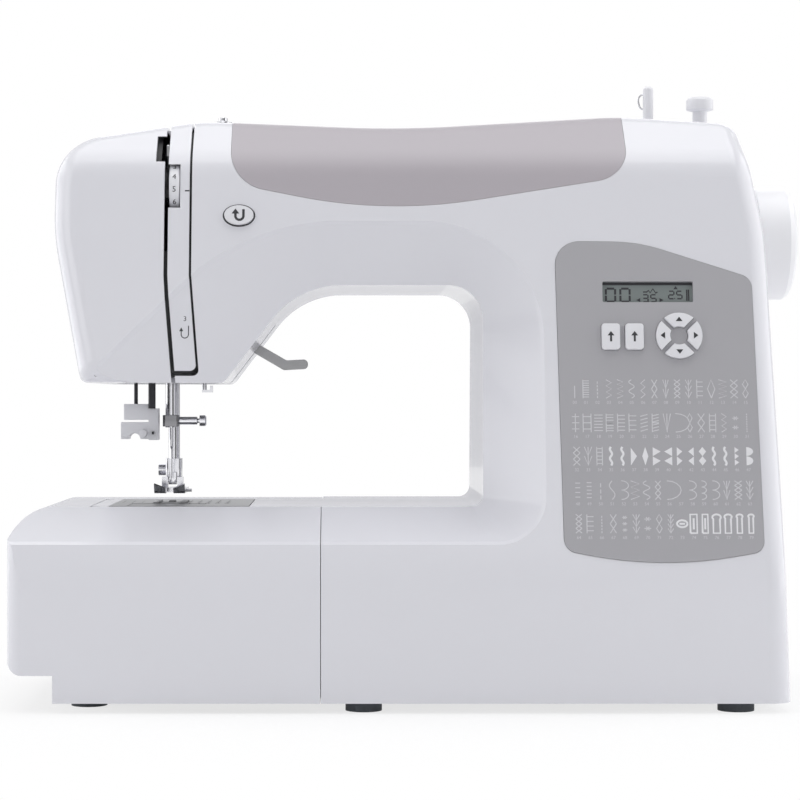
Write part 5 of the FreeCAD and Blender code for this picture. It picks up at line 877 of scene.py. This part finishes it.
def round_edges(label, width):
    """A copy of a node, its flat facets merged and its sharp edges rounded, stands for it."""
    source = nodes[label]
    bm = bmesh.new()
    bm.from_mesh(source.data)
    bm.transform(source.matrix_world)
    bmesh.ops.remove_doubles(bm, verts=bm.verts, dist=SAME_CORNER)
    bmesh.ops.dissolve_limit(bm, angle_limit=SAME_PLANE, verts=bm.verts, edges=bm.edges)
    edges = [edge for edge in bm.edges if edge.is_manifold and edge.calc_face_angle() > SHARP]
    bmesh.ops.bevel(
        bm, geom=edges, offset=width * MM, offset_type="OFFSET", affect="EDGES", segments=3, profile=0.5,
        clamp_overlap=True, material=-1,
    )
    mesh = mesh_of(bm, label + "_rounded", smooth=True)
    mesh.set_sharp_from_angle(angle=SHARP)
    finish = source.data.materials[0]
    piece = as_piece(label + "_rounded", mesh, finish, body_of_node[label])
    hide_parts(label)


for label, width in EDGE_ROUNDS.items():
    round_edges(label, width)
print_panel()
print_buttons()
print_display()
print_reverse()
print_dial()
print_plate()
bend_winder_clip()
fit_back_screws()

# Stage and lights, in metres: a white floor that keeps the shadow near the machine
FLOOR_HALF = 4
FLOOR_COLOUR, FLOOR_ROUGHNESS = (0.88, 0.88, 0.89, 1), 0.7
FLOOR_NEAR, FLOOR_FAR, FLOOR_GLOW = 0.16, 0.42, 0.72
FLOOR_DEPTH_SHARE = 1.6
WORLD_STRENGTH = 0.5
WORLD_LOW = (0.30, 0.30, 0.31, 1)
WORLD_HIGH, WORLD_HIGH_FROM = (0.97, 0.98, 1.0, 1), 0.75
WORLD_BEHIND = (1.36, 1.36, 1.4, 1)
BEHIND_FROM, BEHIND_FULL = 0.2, 0.9
# Name, place, aim, size and power; the front card shows only in gloss
SOFTBOXES = (
    ("TopLight", (0.0, -0.2, 1.5), (0, 0, 0.15), (1.6, 1.2), 10.5),
    ("LeftLight", (-1.3, -1.0, 0.9), (0, 0, 0.15), (0.9, 1.2), 5),
    ("RightLight", (1.4, -0.9, 0.7), (0, 0, 0.15), (0.9, 1.2), 3.4),
    ("LeftRim", (-1.5, 0.35, 0.55), (0, 0, 0.15), (1.6, 1.6), 11),
    ("RightRim", (1.5, 0.15, 0.6), (0.1, 0, 0.15), (1.5, 1.6), 11),
    ("BackLight", (0.2, 1.4, 0.9), (0, 0, 0.2), (1.2, 1.0), 2.5),
    ("FrontCard", (-0.1, -2.4, 0.5), (0, 0, 0.2), (1.5, 0.9), 2.6),
)
GLOSS_ONLY = "FrontCard"


def make_stage():
    bm = bmesh.new()
    bmesh.ops.create_grid(bm, x_segments=2, y_segments=2, size=FLOOR_HALF)
    floor = bpy.data.objects.new("floor", mesh_of(bm, "Floor"))
    bpy.context.scene.collection.objects.link(floor)
    paper = bpy.data.materials.new("Paper")
    paper.use_nodes = True
    tree = paper.node_tree
    shader = tree.nodes["Principled BSDF"]
    shader.inputs["Base Color"].default_value = FLOOR_COLOUR
    shader.inputs["Roughness"].default_value = FLOOR_ROUGHNESS
    glow = tree.nodes.new("ShaderNodeEmission")
    place = tree.nodes.new("ShaderNodeTexCoord")
    flat = tree.nodes.new("ShaderNodeVectorMath")
    flat.operation = "MULTIPLY"
    flat.inputs[1].default_value = (1.0, FLOOR_DEPTH_SHARE, 0.0)
    span = tree.nodes.new("ShaderNodeVectorMath")
    span.operation = "LENGTH"
    fade = tree.nodes.new("ShaderNodeMapRange")
    fade.inputs["From Min"].default_value = FLOOR_NEAR
    fade.inputs["From Max"].default_value = FLOOR_FAR
    fade.inputs["To Min"].default_value = FLOOR_GLOW
    path = tree.nodes.new("ShaderNodeLightPath")
    seen = math_node(tree, "MULTIPLY")
    rays = math_node(tree, "MAXIMUM")
    mix = tree.nodes.new("ShaderNodeMixShader")
    link = tree.links.new
    link(place.outputs["Object"], flat.inputs[0])
    link(flat.outputs["Vector"], span.inputs[0])
    link(span.outputs["Value"], fade.inputs["Value"])
    link(path.outputs["Is Camera Ray"], rays.inputs[0])
    link(path.outputs["Is Glossy Ray"], rays.inputs[1])
    link(fade.outputs["Result"], seen.inputs[0])
    link(rays.outputs[0], seen.inputs[1])
    link(seen.outputs[0], mix.inputs["Fac"])
    link(shader.outputs["BSDF"], mix.inputs[1])
    link(glow.outputs["Emission"], mix.inputs[2])
    link(mix.outputs["Shader"], tree.nodes["Material Output"].inputs["Surface"])
    floor.data.materials.append(paper)


def make_world():
    """White to the camera; for light, darker below and brighter behind the machine."""
    world = bpy.data.worlds.new("Studio")
    bpy.context.scene.world = world
    world.use_nodes = True
    tree = world.node_tree
    tree.nodes.clear()
    out = tree.nodes.new("ShaderNodeOutputWorld")
    seen = tree.nodes.new("ShaderNodeBackground")
    seen.inputs["Color"].default_value = (1, 1, 1, 1)
    seen.inputs["Strength"].default_value = 1.0
    lit = tree.nodes.new("ShaderNodeBackground")
    lit.inputs["Strength"].default_value = WORLD_STRENGTH
    place = tree.nodes.new("ShaderNodeTexCoord")
    parts = tree.nodes.new("ShaderNodeSeparateXYZ")
    ramp = tree.nodes.new("ShaderNodeValToRGB")
    below, above = ramp.color_ramp.elements
    below.position, below.color = 0.0, WORLD_LOW
    above.position, above.color = WORLD_HIGH_FROM, WORLD_HIGH
    behind = tree.nodes.new("ShaderNodeMapRange")
    behind.inputs["From Min"].default_value = BEHIND_FROM
    behind.inputs["From Max"].default_value = BEHIND_FULL
    glow = colour_mix(tree, "MIX")
    glow.inputs["B"].default_value = WORLD_BEHIND
    path = tree.nodes.new("ShaderNodeLightPath")
    mix = tree.nodes.new("ShaderNodeMixShader")
    link = tree.links.new
    link(place.outputs["Generated"], parts.inputs["Vector"])
    link(parts.outputs["Z"], ramp.inputs["Fac"])
    link(parts.outputs["Y"], behind.inputs["Value"])
    link(behind.outputs["Result"], glow.inputs["Factor"])
    link(ramp.outputs["Color"], glow.inputs["A"])
    link(glow.outputs["Result"], lit.inputs["Color"])
    link(path.outputs["Is Camera Ray"], mix.inputs["Fac"])
    link(lit.outputs["Background"], mix.inputs[1])
    link(seen.outputs["Background"], mix.inputs[2])
    link(mix.outputs["Shader"], out.inputs["Surface"])


def add_softbox(name, place, aim, size, power):
    lamp = bpy.data.lights.new(name, "AREA")
    lamp.shape = "RECTANGLE"
    lamp.size, lamp.size_y = size
    lamp.energy = power
    item = bpy.data.objects.new(name, lamp)
    item.location = place
    item.rotation_euler = (Vector(aim) - Vector(place)).to_track_quat("-Z", "Y").to_euler()
    item.visible_diffuse = name != GLOSS_ONLY
    bpy.context.scene.collection.objects.link(item)


def make_camera():
    data = bpy.data.cameras.new("Camera")
    data.lens = CAMERA_LENS
    data.sensor_width = CAMERA_SENSOR
    data.shift_x = CAMERA_SHIFT
    camera = bpy.data.objects.new("Camera", data)
    camera.location = CAMERA_PLACE
    camera.rotation_euler = (math.radians(90), 0, 0)
    bpy.context.scene.collection.objects.link(camera)
    bpy.context.scene.camera = camera


make_stage()
make_world()
for softbox in SOFTBOXES:
    add_softbox(*softbox)
make_camera()
bpy.context.scene.view_settings.view_transform = "Standard"
